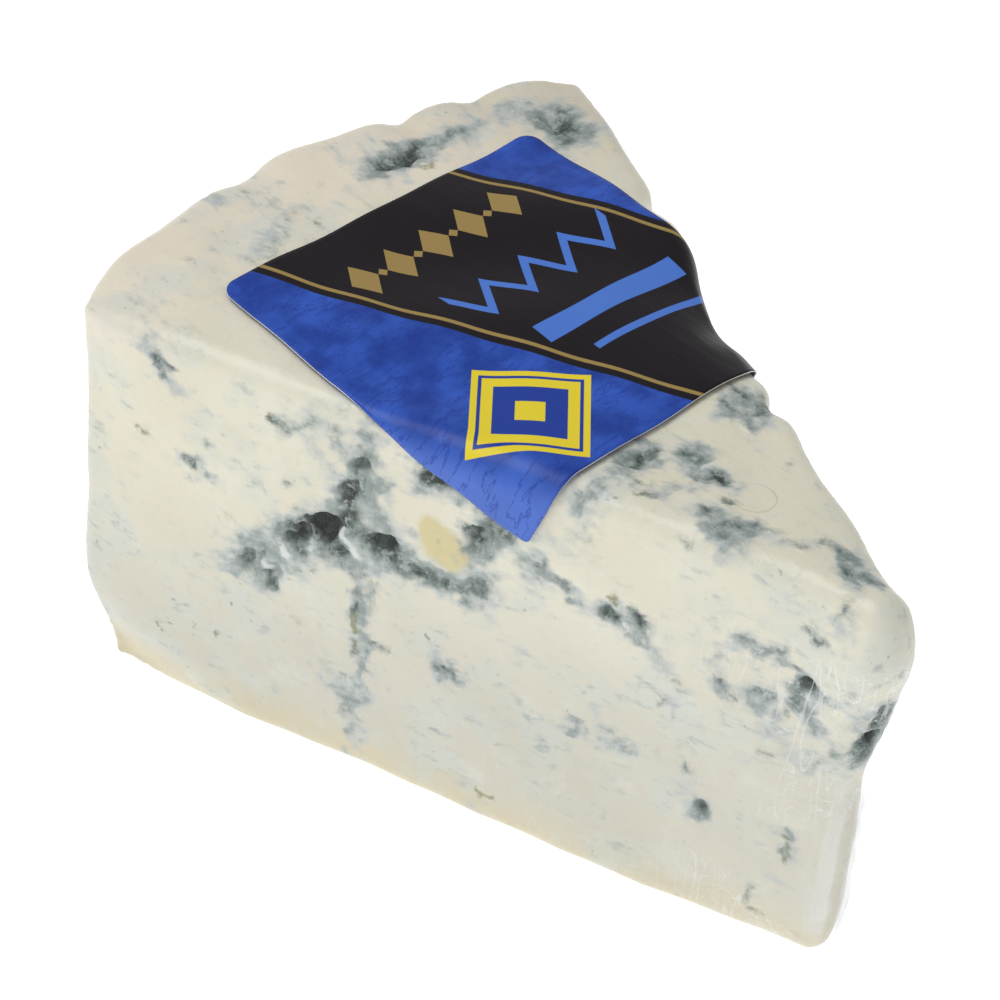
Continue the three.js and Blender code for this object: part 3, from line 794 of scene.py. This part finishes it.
def field(points, marks, waver):
    """The strength of the marks at each point. waver is how far their outlines wander."""
    total = np.zeros(len(points))
    wandering = points + 1.5 * waver * rough(points, sway_grain, 3.0)
    wandering = wandering + waver * rough(points, tear_grain, 7.0)
    measured = {face: rulers[face](wandering) for face in rulers}
    for face, path, half_width, strength in marks:
        u, v, deep = measured[face]
        low_u, high_u = min(p[0] for p in path), max(p[0] for p in path)
        low_v, high_v = min(p[1] for p in path), max(p[1] for p in path)
        margin = 3.2 * half_width
        near = (u > low_u - margin) & (u < high_u + margin)
        near &= (v > low_v - margin) & (v < high_v + margin)
        near &= np.abs(deep) * depth_share < margin
        away = np.hypot(stroke_distance(u[near], v[near], path), deep[near] * depth_share)
        value = strength * np.exp(-((away / (stroke_spread * half_width)) ** 2))
        overlap = overlap_share * np.minimum(total[near], value)
        total[near] = np.maximum(total[near], value) + overlap
    return np.clip(total, 0, 1.2)


def store(mesh, name, values):
    attribute = mesh.attributes.new(name, "FLOAT", "POINT")
    attribute.data.foreach_set("value", np.ascontiguousarray(values, dtype=np.float32))


def hollowness(points):
    """How far a point lies under the wrapped surface, in millimetres, up to the edge radius."""
    outside = past_cut_faces(points) + past_rind(points) + past_top_or_bottom(points)
    surface = edge_round + relief(points)[:, 0] - cheese_inset
    return np.clip(surface - lengths(outside)[:, 0], 0, edge_round)


points = places(cheese_mesh)
halo_growth, halo_margin, halo_strength = 1.25, 0.7, 0.75
halo_marks = [(face, path, halo_growth * half_width + halo_margin, halo_strength * strength)
              for face, path, half_width, strength in mould_marks]
mould = field(points, mould_marks, 0.5)
halo = field(points, halo_marks, 1.3)
haze = np.clip(field(points, haze_marks, 1.1) + 0.38 * halo, 0, 1.15)
olive = field(points, olive_marks, 0.35)
wax = field(points, wax_marks, 0.5)
chalk = field(points, chalk_marks, 0.5)
hollow = hollowness(points)
print("share of dark surface:", round(float(np.mean(mould > 0.5)), 3))

# %% [markdown]
# Under the film the paste is not smooth: it is grainy, with shallow pits where mould has dried it.
# These last moves are a fraction of a millimetre, enough to catch the light along each vein.

# %% Fine relief of the paste
grain = rough(points, 3.5, 2.0)[:, 0] * 0.07 + rough(points, 1.1, 4.0)[:, 0] * 0.05
pits = -0.35 * smooth(mould, 0.3, 0.9) * (0.6 + rough(points, 0.8, 6.0)[:, 1])
normals = np.empty(len(points) * 3)
cheese_mesh.vertex_normals.foreach_get("vector", normals)
normals = normals.reshape(-1, 3)
above_base = smooth(points[:, 2], 0.3, 2.0)
points = points + normals * ((grain + pits) * above_base)[:, None]


def to_frame(points):
    return (points - box_middle) * metres


move_to(cheese_mesh, to_frame(points))
for name, values in [("mould", mould), ("haze", haze), ("olive", olive), ("wax", wax),
                     ("chalk", chalk), ("hollow", hollow / 3)]:
    store(cheese_mesh, name, values)


def piece(name, mesh, node):
    mesh.name = name
    made = bpy.data.objects.new(name, mesh)
    bpy.context.scene.collection.objects.link(made)
    mesh.polygons.foreach_set("use_smooth", [True] * len(mesh.polygons))
    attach(made, "root")
    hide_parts(node)
    return made


piece("cheese_paste", cheese_mesh, "cheese")
print("paste:", len(cheese_mesh.polygons), "faces, lowest point", points[:, 2].min().round(2), "mm")

# %% [markdown]
# Shader maths is easier to read as sums than as boxes and wires. Value wraps one socket, and adding
# or multiplying two of them adds the Math node that does it. Finish holds one material and has one
# method that adds any other node.

# %% A small language for materials
class Value:
    def __init__(self, finish, socket):
        self.finish = finish
        self.socket = socket

    def _math(self, operation, first, second):
        inputs = {0: first, 1: second}
        return self.finish.node("ShaderNodeMath", {"operation": operation}, inputs)

    def __add__(self, other):
        return self._math("ADD", self, other)

    def __radd__(self, other):
        return self._math("ADD", other, self)

    def __sub__(self, other):
        return self._math("SUBTRACT", self, other)

    def __rsub__(self, other):
        return self._math("SUBTRACT", other, self)

    def __mul__(self, other):
        return self._math("MULTIPLY", self, other)

    def __rmul__(self, other):
        return self._math("MULTIPLY", other, self)

    def __truediv__(self, other):
        return self._math("DIVIDE", self, other)

    def __abs__(self):
        return self._math("ABSOLUTE", self, 0)

    def least(self, other):
        return self._math("MINIMUM", self, other)

    def most(self, other):
        return self._math("MAXIMUM", self, other)


class Finish:
    def __init__(self, name):
        self.material = bpy.data.materials.new(name)
        self.material.use_nodes = True
        self.tree = self.material.node_tree
        self.surface = self.tree.nodes["Principled BSDF"]

    def node(self, kind, settings=None, inputs=None, out=0):
        """Adds a node: its settings first, then the values or links of its sockets."""
        made = self.tree.nodes.new(kind)
        for name, value in (settings or {}).items():
            setattr(made, name, value)
        for name, value in (inputs or {}).items():
            self.feed(made.inputs[name], value)
        return Value(self, made.outputs[out])

    def feed(self, socket, value):
        if isinstance(value, Value):
            self.tree.links.new(value.socket, socket)
        else:
            socket.default_value = value

    def feed_surface(self, **inputs):
        for name, value in inputs.items():
            self.feed(self.surface.inputs[name.replace("_", " ")], value)

    def attribute(self, name):
        return self.node("ShaderNodeAttribute", {"attribute_name": name}, out="Fac")

    def millimetres(self):
        object_place = self.node("ShaderNodeTexCoord", out="Object")
        return self.node("ShaderNodeVectorMath", {"operation": "SCALE"},
                         {"Vector": object_place, "Scale": 1000})

    def noise(self, place, grain, detail=2.0, roughness=0.5):
        """Noise from 0 to 1 whose lumps are about as large as grain."""
        return self.node("ShaderNodeTexNoise", None,
                         {"Vector": place, "Scale": 1 / grain, "Detail": detail,
                          "Roughness": roughness})

    def stretched(self, place, stretch, turn=(0, 0, 0)):
        return self.node("ShaderNodeMapping", None,
                         {"Vector": place, "Scale": stretch, "Rotation": turn})

    def rise(self, value, low, high):
        """0 below low, 1 above high, and a soft step between."""
        return self.node("ShaderNodeMapRange", {"interpolation_type": "SMOOTHSTEP"},
                         {"Value": value, "From Min": low, "From Max": high})

    def blend(self, share, first, second):
        """The first colour turning into the second as share goes from 0 to 1."""
        return self.node("ShaderNodeMix", {"data_type": "RGBA"},
                         {0: share, 6: first, 7: second}, out=2)

    def bump(self, height, distance, strength=1.0, below=None):
        inputs = {"Height": height, "Distance": distance, "Strength": strength}
        if below is not None:
            inputs["Normal"] = below
        return self.node("ShaderNodeBump", None, inputs)


def paint(red, green, blue):
    """A colour as a paint chart gives it, from 0 to 255, as the shader wants it."""
    def linear(value):
        value /= 255
        return value / 12.92 if value <= 0.04045 else ((value + 0.055) / 1.055) ** 2.4
    return (linear(red), linear(green), linear(blue), 1.0)


# %% [markdown]
# The paste is cream, a little pinker towards the rind and yellower at the foot, with a waxy shine
# through the film. Mould goes on in layers, as on the real face: a pale blue haze first, then
# blue-green, then the near-black of the open veins with greenish crumbs in them. Noise decides
# exactly where each layer starts, so no edge is smooth.

# %% The paste and its mould
hair_ring_middle = (28.3, -0.7, 57.3)


def paste_finish():
    finish = Finish("blue cheese paste")
    place = finish.millimetres()
    split = finish.node("ShaderNodeSeparateXYZ", None, {0: place}, out="X")
    across = Value(finish, split.socket.node.outputs["X"])
    height = Value(finish, split.socket.node.outputs["Z"])
    broad = finish.noise(place, 22, 2)
    patchy = finish.noise(place, 5, 3, 0.55)
    torn = finish.noise(place, 1.9, 3, 0.6)
    fine = finish.noise(place, 1.1, 3, 0.62)
    finer = finish.noise(place, 0.45, 2, 0.6)
    curdled = finish.noise(finish.stretched(place, (1, 1, 1), (0.4, 0.9, 0.2)), 1.5, 3, 0.6)
    smeared = finish.noise(finish.stretched(place, (0.45, 1, 1.1), (0.2, 0.55, 0.3)), 1.5, 4, 0.6)

    cream = finish.blend(finish.rise(broad, 0.35, 0.65), paint(231, 228, 209), paint(228, 223, 201))
    rind_side = finish.rise(across + (broad - 0.5) * 30, -18, -46)
    crust = rind_side * finish.rise(height + (patchy - 0.5) * 8, 47, 57)
    cream = finish.blend(crust * 0.6, cream, paint(236, 222, 204))
    # Painted shade: the paste is darkened towards the bottom, and a little towards the tip, where
    # less light falls on it.
    painted_shade_low = finish.rise(height + (broad - 0.5) * 16 - across * 0.12, 46, 12)
    cream = finish.blend(painted_shade_low * 0.9, cream, paint(206, 203, 188))
    # Painted shade: the top is darkened towards its back corner, away from the light.
    inward = Value(finish, split.socket.node.outputs["Y"])
    painted_shade_back_corner = finish.rise(inward - across * 0.5, 26, 52) * finish.rise(height, 44, 56)
    cream = finish.blend(painted_shade_back_corner * 0.6, cream, paint(202, 192, 168))
    foot = finish.rise(height + (patchy - 0.5) * 6, 9, 1)
    cream = finish.blend(foot * 0.7, cream, paint(216, 203, 164))
    cream = finish.blend(finish.rise(patchy, 0.52, 0.75) * 0.35, cream, paint(228, 230, 218))
    # Painted shade: the paste is slightly darker towards the tip, where the light falls off.
    painted_shade_tip = finish.rise(across + (patchy - 0.5) * 20, 8, 50)
    cream = finish.blend(painted_shade_tip * 0.3, cream, paint(221, 219, 203))
    clouds = finish.rise(finish.noise(place, 9, 3, 0.62), 0.48, 0.66)
    cream = finish.blend(clouds * 0.45, cream, paint(205, 213, 206))
    smudge = finish.rise(smeared, 0.53, 0.7) * (clouds * 0.8 + 0.08)
    cream = finish.blend(smudge * 0.6, cream, paint(140, 156, 158))
    specks = finish.rise(finish.noise(place, 1.2, 2, 0.5), 0.68, 0.77) * clouds
    cream = finish.blend(specks * 0.6, cream, paint(96, 108, 100))

    haze_field = finish.attribute("haze") + (patchy - 0.5) * 1.0 + (smeared - 0.5) * 1.5
    haze = finish.rise(haze_field, 0.2, 1.15)
    colour = finish.blend(haze * 0.75, cream, paint(184, 193, 195))
    deep_field = finish.attribute("haze") + (torn - 0.5) * 1.1 + (fine - 0.5) * 1.1
    deep_haze = finish.rise(deep_field + (patchy - 0.5) * 0.6, 0.65, 1.5)
    colour = finish.blend(deep_haze * 0.78, colour, paint(110, 128, 122))
    wax = finish.rise(finish.attribute("wax") + (patchy - 0.5) * 0.3, 0.3, 0.7)
    colour = finish.blend(wax * 0.85, colour, paint(214, 200, 142))
    olive = finish.rise(finish.attribute("olive") + (torn - 0.5) * 1.7, 0.42, 0.8)
    colour = finish.blend(olive * 0.8, colour, paint(128, 126, 76))

    in_hole = finish.rise(finish.attribute("hollow"), 0.15, 0.65) * 0.5
    mould = finish.attribute("mould")
    mould_field = mould + in_hole + (torn - 0.5) * 1.5 + (finer - 0.5) * 0.3
    soft_edge = finish.rise(mould_field, 0.12, 0.85)
    colour = finish.blend(soft_edge * 0.7, colour, paint(140, 154, 152))
    blue_green = finish.rise(mould_field, 0.45, 1.08)
    colour = finish.blend(blue_green * 0.85, colour, paint(80, 97, 89))
    dark = finish.rise(mould_field, 0.84, 1.3)
    colour = finish.blend(dark * 0.95, colour, paint(42, 46, 42))
    crumb = finish.rise(curdled + (fine - 0.5) * 0.5, 0.54, 0.66) * blue_green
    colour = finish.blend(crumb * 0.5, colour, paint(104, 122, 106))
    pale_crumb = finish.rise(finish.noise(place, 1.6, 3, 0.6), 0.54, 0.62) * soft_edge
    pale_crumb = pale_crumb * (1 - in_hole * 1.3)
    colour = finish.blend(pale_crumb * 0.7, colour, paint(178, 190, 184))
    chalk = finish.rise(finish.attribute("chalk") + (torn - 0.5) * 1.2, 0.5, 0.85)
    colour = finish.blend(chalk * 0.8, colour, paint(226, 230, 226))
    ring_place = finish.node("ShaderNodeVectorMath", {"operation": "DISTANCE"},
                             {0: place, 1: hair_ring_middle}, out="Value")
    hair = finish.rise(abs(ring_place + (broad - 0.5) * 2 - 3.0), 0.1, 0.04)
    hair = hair * finish.rise(across, 25.5, 28)
    colour = finish.blend(hair * 0.3, colour, paint(130, 126, 104))

    roughness = 0.36 + dark * 0.3 + (patchy - 0.5) * 0.12
    grainy = fine * 0.12 + (curdled + torn) * mould * 0.8
    normal = finish.bump(grainy, 0.001, 0.65)
    finish.feed_surface(Base_Color=colour, Roughness=roughness, Normal=normal,
                        Specular_IOR_Level=0.4)
    return finish.material


cheese_mesh.materials.clear()
cheese_mesh.materials.append(paste_finish())
print("paste finish:", len(cheese_mesh.materials[0].node_tree.nodes), "nodes")

# %% [markdown]
# Clear film is hardly seen: it bridges the smaller holes, shines a little, and shows as white
# threads where it is creased, most of all at the tip and along the edges where it was gathered.
# It is its own shell over the paste, made from the same wedge without the holes, and its material
# is nearly all transparent except along the creases. Film this thin hardly dims the light, so it
# takes no part in shadows and bounces, which would cost most of the render.

# %% The clear film
film_mesh = remeshed(block, 0.95)
film_points = shaped(places(film_mesh), film_lift)
print("film:", len(film_mesh.polygons), "squares")
tip_nearness = smooth(film_points[:, 0], 22, 50)
low_on_tip = smooth(film_points[:, 0], 46, 50) * smooth(film_points[:, 2], 2, 7)
low_on_tip *= 1 - smooth(film_points[:, 2], 24, 32)
wrinkle = rough(film_points * [1.0, 1.0, 0.35], 2.4, 1.0)[:, 0]
flutter = np.abs(rough(film_points * [1.0, 1.0, 0.6], 3.1, 2.0)[:, 1])
film_normals = np.empty(len(film_points) * 3)
film_mesh.vertex_normals.foreach_get("vector", film_normals)
film_normals = film_normals.reshape(-1, 3)
lift = 0.1 * np.abs(wrinkle) * (0.3 + tip_nearness) * smooth(film_points[:, 2], 0.5, 3)
lift += 1.1 * flutter * low_on_tip
film_points = film_points + film_normals * lift[:, None]
move_to(film_mesh, to_frame(film_points))
store(film_mesh, "tip_nearness", tip_nearness)
store(film_mesh, "loose", low_on_tip)
film = piece("clear_film", film_mesh, "cheese")
film.visible_shadow = False
film.visible_diffuse = False


def film_finish():
    finish = Finish("clear film")
    place = finish.millimetres()
    down_face = finish.stretched(place, (0.55, 0.55, 0.05), (0.12, 0.3, 0))
    slanting = finish.stretched(place, (0.06, 0.5, 0.5), (0.1, -0.75, 0.35))
    threads = finish.noise(down_face, 1.0, 1, 0.5)
    crossing = finish.noise(slanting, 1.0, 1, 0.5)
    thread = finish.rise(abs(threads - 0.5), 0.022, 0.0)
    cross_thread = finish.rise(abs(crossing - 0.52), 0.016, 0.0)
    gathered = finish.attribute("tip_nearness")
    patch = finish.rise(finish.noise(place, 12, 0), 0.5, 0.62)
    sheen = finish.rise(threads, 0.55, 0.68) * patch
    creases = thread.most(cross_thread) * patch * (gathered * 0.34 + 0.06)
    creases = creases + sheen * gathered * 0.12
    fringe = finish.attribute("loose") * finish.rise(threads, 0.4, 0.6) * 0.42
    creases = creases.most(fringe)
    finish.feed_surface(Base_Color=paint(246, 248, 250), Roughness=0.22, Alpha=creases + 0.035,
                        Specular_IOR_Level=0.6)
    return finish.material


film_mesh.materials.clear()
film_mesh.materials.append(film_finish())

# %% [markdown]
# The label is a square of coated paper, stuck to the film on top and folded down both cut faces.
# It starts as a flat grid, gets its round corners and its slight skew, and is then bent: past each
# edge the paper runs round the edge's radius and on down the face, so its length is kept and the
# print isn't stretched. Its flat coordinates are kept as a UV map for the print.

# %% Folding the label
label_long, label_wide = 48.8, 49.8
label_corner = 2.2
label_tip_corner = 0.8
label_centre = np.array([-10.9, 0.2])
label_turn = math.radians(1)
label_skew = 0.045
paper_lift = 0.3
paper_thick = 0.14


def fold(flat, lift):
    """Bends flat points of the top face down the two cut faces, at a height over the cheese."""
    place = np.column_stack([flat, np.full(len(flat), wedge_height)])
    outward = np.tile([0.0, 0.0, 1.0], (len(flat), 1))
    start = place.copy()
    for side in (-1, 1):
        normal = np.array([sine, side * cosine, 0.0])
        past = (start - wheel_centre) @ normal + edge_round
        over = past > 0
        bend = np.minimum(past / edge_round, math.pi / 2)
        drop = np.maximum(past - edge_round * math.pi / 2, 0)
        shift = normal * (edge_round * np.sin(bend) - past)[:, None]
        shift[:, 2] -= edge_round * (1 - np.cos(bend)) + drop
        turned = normal * np.sin(bend)[:, None]
        turned[:, 2] += np.cos(bend)
        place[over] += shift[over]
        outward[over] = turned[over]
    return place + outward * (relief(place) + lift)


def past_inner(value, side, radius):
    inner = side / 2 - radius
    return value - np.clip(value, -inner, inner)


def label_sheet():
    sheet = bmesh.new()
    bmesh.ops.create_grid(sheet, x_segments=110, y_segments=110, size=0.5)
    print_map = sheet.loops.layers.uv.new("print")
    for face in sheet.faces:
        for loop in face.loops:
            loop[print_map].uv = (loop.vert.co.x + 0.5, loop.vert.co.y + 0.5)
    mesh = bpy.data.meshes.new("label")
    sheet.to_mesh(mesh)
    sheet.free()
    return mesh


label_mesh = label_sheet()
flat = places(label_mesh)[:, :2] * [label_long, label_wide]
on_front = (flat[:, 0] > 0) & (flat[:, 1] < 0)
radius = np.where(on_front, label_tip_corner, label_corner)
over = np.column_stack([past_inner(flat[:, 0], label_long, radius),
                        past_inner(flat[:, 1], label_wide, radius)])
in_corner = (over[:, 0] != 0) & (over[:, 1] != 0)
draw_in = np.abs(over).max(axis=1) / np.maximum(np.hypot(*over.T), 1e-9) - 1
flat[in_corner] += over[in_corner] * draw_in[in_corner][:, None]
flat[:, 0] -= label_skew * flat[:, 1]
turn_in = np.array([[math.cos(label_turn), -math.sin(label_turn)],
                    [math.sin(label_turn), math.cos(label_turn)]])
flat = flat @ turn_in.T + label_centre
label_points = fold(flat, paper_lift)
move_to(label_mesh, to_frame(label_points))
label = piece("paper_label", label_mesh, "label")
thickness = label.modifiers.new("paper", "SOLIDIFY")
thickness.thickness = paper_thick * metres
thickness.offset = 1
thickness.use_rim = True
thickness.material_offset_rim = 1
print("label:", len(label_mesh.polygons), "faces")

# %% [markdown]
# The print is plain shapes only, worked out from the paper's own flat coordinates in millimetres:
# a blue ground with brushed streaks, a dark band between two straight edges with gold rules, a row
# of gold lozenges, light blue chevrons and bars, and one large yellow lozenge in a frame.
# Each shape is a distance turned into a mask, so its edge stays sharp at any size.

# %% The label's print
def past_fold(down, across):
    """How far a place on the paper lies past the start of the bend over the front edge."""
    return (down + label_centre[0] - centre_x) * sine - across * cosine + edge_round


def print_finish():
    finish = Finish("printed label")
    flat_map = finish.node("ShaderNodeUVMap", {"uv_map": "print"})
    split = finish.node("ShaderNodeSeparateXYZ", None, {0: flat_map}, out="X")
    down = (Value(finish, split.socket.node.outputs["X"]) - 0.5) * label_long
    across = (Value(finish, split.socket.node.outputs["Y"]) - 0.5) * label_wide
    sheet = finish.node("ShaderNodeCombineXYZ", None, {"X": down, "Y": across})
    soft = 0.12

    def inside(distance, reach):
        return finish.rise(distance, reach + soft / 2, reach - soft / 2)

    cloud = finish.noise(sheet, 6, 3, 0.55)
    brushed = finish.noise(finish.stretched(sheet, (0.5, 0.12, 1), (0, 0, 0.5)), 1.0, 4, 0.6)
    streak = finish.rise(abs(brushed - 0.5), 0.02, 0.008)
    ground = finish.blend(finish.rise(cloud, 0.3, 0.7), paint(26, 60, 150), paint(50, 92, 194))
    # Painted highlight: past the fold down the front face the blue ground is painted lighter, where
    # that part of the paper catches the light.
    ground = finish.blend(finish.rise(past_fold(down, across), 0.5, 4.5) * 0.55, ground,
                          paint(96, 132, 222))
    colour = finish.blend(streak * 0.55, ground, paint(30, 56, 150))

    slope = 0.5
    steep = math.hypot(1, slope)
    from_front = (across - down * slope + 8.0) / steep
    from_back = (down * slope + 25.0 - across) / steep
    band = finish.rise(from_front.least(from_back), -soft / 2, soft / 2)
    colour = finish.blend(band, colour, paint(21, 15, 21))
    rule = inside(abs(from_front.least(from_back) - 1.3), 0.28)
    gold = paint(160, 135, 80)
    colour = finish.blend(rule * band, colour, gold)

    def row(first, last):
        """A mask for the stretch of the print that a row of shapes takes."""
        return inside(abs(across - (first + last) / 2), (last - first) / 2)

    def repeated(pitch, start):
        """The distance across from the middle of the nearest of a row of shapes."""
        place = finish.node("ShaderNodeMath", {"operation": "PINGPONG"},
                            {0: across - start, 1: pitch / 2})
        return place

    lozenge = repeated(5.6, -10.4) / 2.0 + abs(down + 15.2) / 3.1
    lozenges = finish.rise(lozenge, 1.04, 0.98) * row(-13.0, 14.6)
    colour = finish.blend(lozenges, colour, gold)
    small = repeated(5.6, -7.6) / 0.7 + abs(down + 15.2) / 0.7
    colour = finish.blend(finish.rise(small, 1.1, 0.95) * row(-9.0, 10.6), colour, gold)
    light_blue = paint(78, 124, 214)
    chevron = abs(repeated(6.4, -6.0) * 1.6 - 2.56 - (down + 3.8))
    colour = finish.blend(inside(chevron, 0.95) * row(-6, 19.6), colour, light_blue)
    bar = inside(abs(down - 5.6), 1.6) * row(-1.6, 21)
    colour = finish.blend(bar, colour, light_blue)
    thin_bar = inside(abs(down - 11), 0.5) * row(2, 21)
    colour = finish.blend(thin_bar, colour, light_blue)

    from_middle = abs(down - 14.0) + abs(across + 11.4)
    yellow = paint(236, 214, 52)
    colour = finish.blend(inside(from_middle, 9.6), colour, yellow)
    colour = finish.blend(inside(abs(from_middle - 8.2), 0.3), colour, paint(30, 62, 158))
    colour = finish.blend(inside(from_middle, 6.0), colour, paint(30, 62, 158))
    colour = finish.blend(inside(from_middle, 2.4), colour, yellow)

    fibre = finish.noise(sheet, 0.5, 3, 0.6)
    crinkle = finish.noise(finish.stretched(sheet, (0.3, 1, 1), (0, 0, 0.4)), 3.0, 2, 0.5)
    normal = finish.bump(fibre, 0.00003, 0.4)
    normal = finish.bump(crinkle, 0.0004, 0.35, below=normal)
    roughness = 0.36 + (fibre - 0.5) * 0.1
    finish.feed_surface(Base_Color=colour, Roughness=roughness, Normal=normal,
                        Specular_IOR_Level=0.22)
    return finish.material


def paper_finish():
    finish = Finish("bare paper edge")
    fibre = finish.noise(finish.millimetres(), 0.3, 3)
    colour = finish.blend(fibre, paint(236, 235, 232), paint(250, 250, 248))
    finish.feed_surface(Base_Color=colour, Roughness=0.7)
    return finish.material


label_mesh.materials.clear()
label_mesh.materials.append(print_finish())
label_mesh.materials.append(paper_finish())

# %% [markdown]
# The camera stands off one corner and looks down on the tip, slightly rolled, with a long lens, so
# the wedge's far end is hardly smaller than its near one.

# %% The camera
eye = Vector((174.41, -179.55, 258.68)) * metres
ahead = Vector((-0.53495, 0.51774, -0.66766))
rightward = Vector((0.65297, 0.75483, 0.06215))
upward = Vector((-0.53615, 0.40271, 0.74187))
focal_pixels, picture_pixels, sensor = 2862, 1000, 36
camera_data = bpy.data.cameras.new("camera")
camera_data.sensor_width = sensor
camera_data.lens = focal_pixels / picture_pixels * sensor
camera = bpy.data.objects.new("camera", camera_data)
bpy.context.scene.collection.objects.link(camera)
turn = Matrix((rightward, upward, -ahead)).transposed()
camera.matrix_world = Matrix.Translation(eye) @ turn.to_4x4()
bpy.context.scene.camera = camera
bpy.context.scene.view_settings.view_transform = "Standard"
print("lens:", round(camera_data.lens, 1), "mm")

# %% [markdown]
# The light is a plain studio: a white room, one large soft light high over the cut face, and a
# weaker one low in front of the tip. The floor is a pale sheet.

# %% The floor and the light
def area_light(name, place, size, watts, aim=(0, 0, 0.025)):
    data = bpy.data.lights.new(name, "AREA")
    data.shape = "DISK"
    data.size = size
    data.energy = watts
    light = bpy.data.objects.new(name, data)
    bpy.context.scene.collection.objects.link(light)
    light.location = place
    light.rotation_euler = (Vector(aim) - Vector(place)).to_track_quat("-Z", "Y").to_euler()
    return light


area_light("high light", (-0.15, -0.2, 0.62), 0.4, 1.7)
area_light("low light", (0.25, -0.5, 0.1), 0.3, 0.22)
world = bpy.data.worlds.new("studio")
world.use_nodes = True
room = world.node_tree.nodes["Background"]
room.inputs["Color"].default_value = (1, 1, 1, 1)
room.inputs["Strength"].default_value = 0.45
bpy.context.scene.world = world

floor_shape = bmesh.new()
bmesh.ops.create_grid(floor_shape, x_segments=1, y_segments=1, size=3)
floor_mesh = bpy.data.meshes.new("floor")
floor_shape.to_mesh(floor_mesh)
floor_shape.free()
floor = bpy.data.objects.new("floor", floor_mesh)
bpy.context.scene.collection.objects.link(floor)
floor_finish = Finish("pale floor")
floor_finish.feed_surface(Base_Color=(0.5, 0.5, 0.5, 1), Roughness=0.9,
                          Emission_Color=(1, 1, 1, 1), Emission_Strength=0.82)
floor_mesh.materials.append(floor_finish.material)
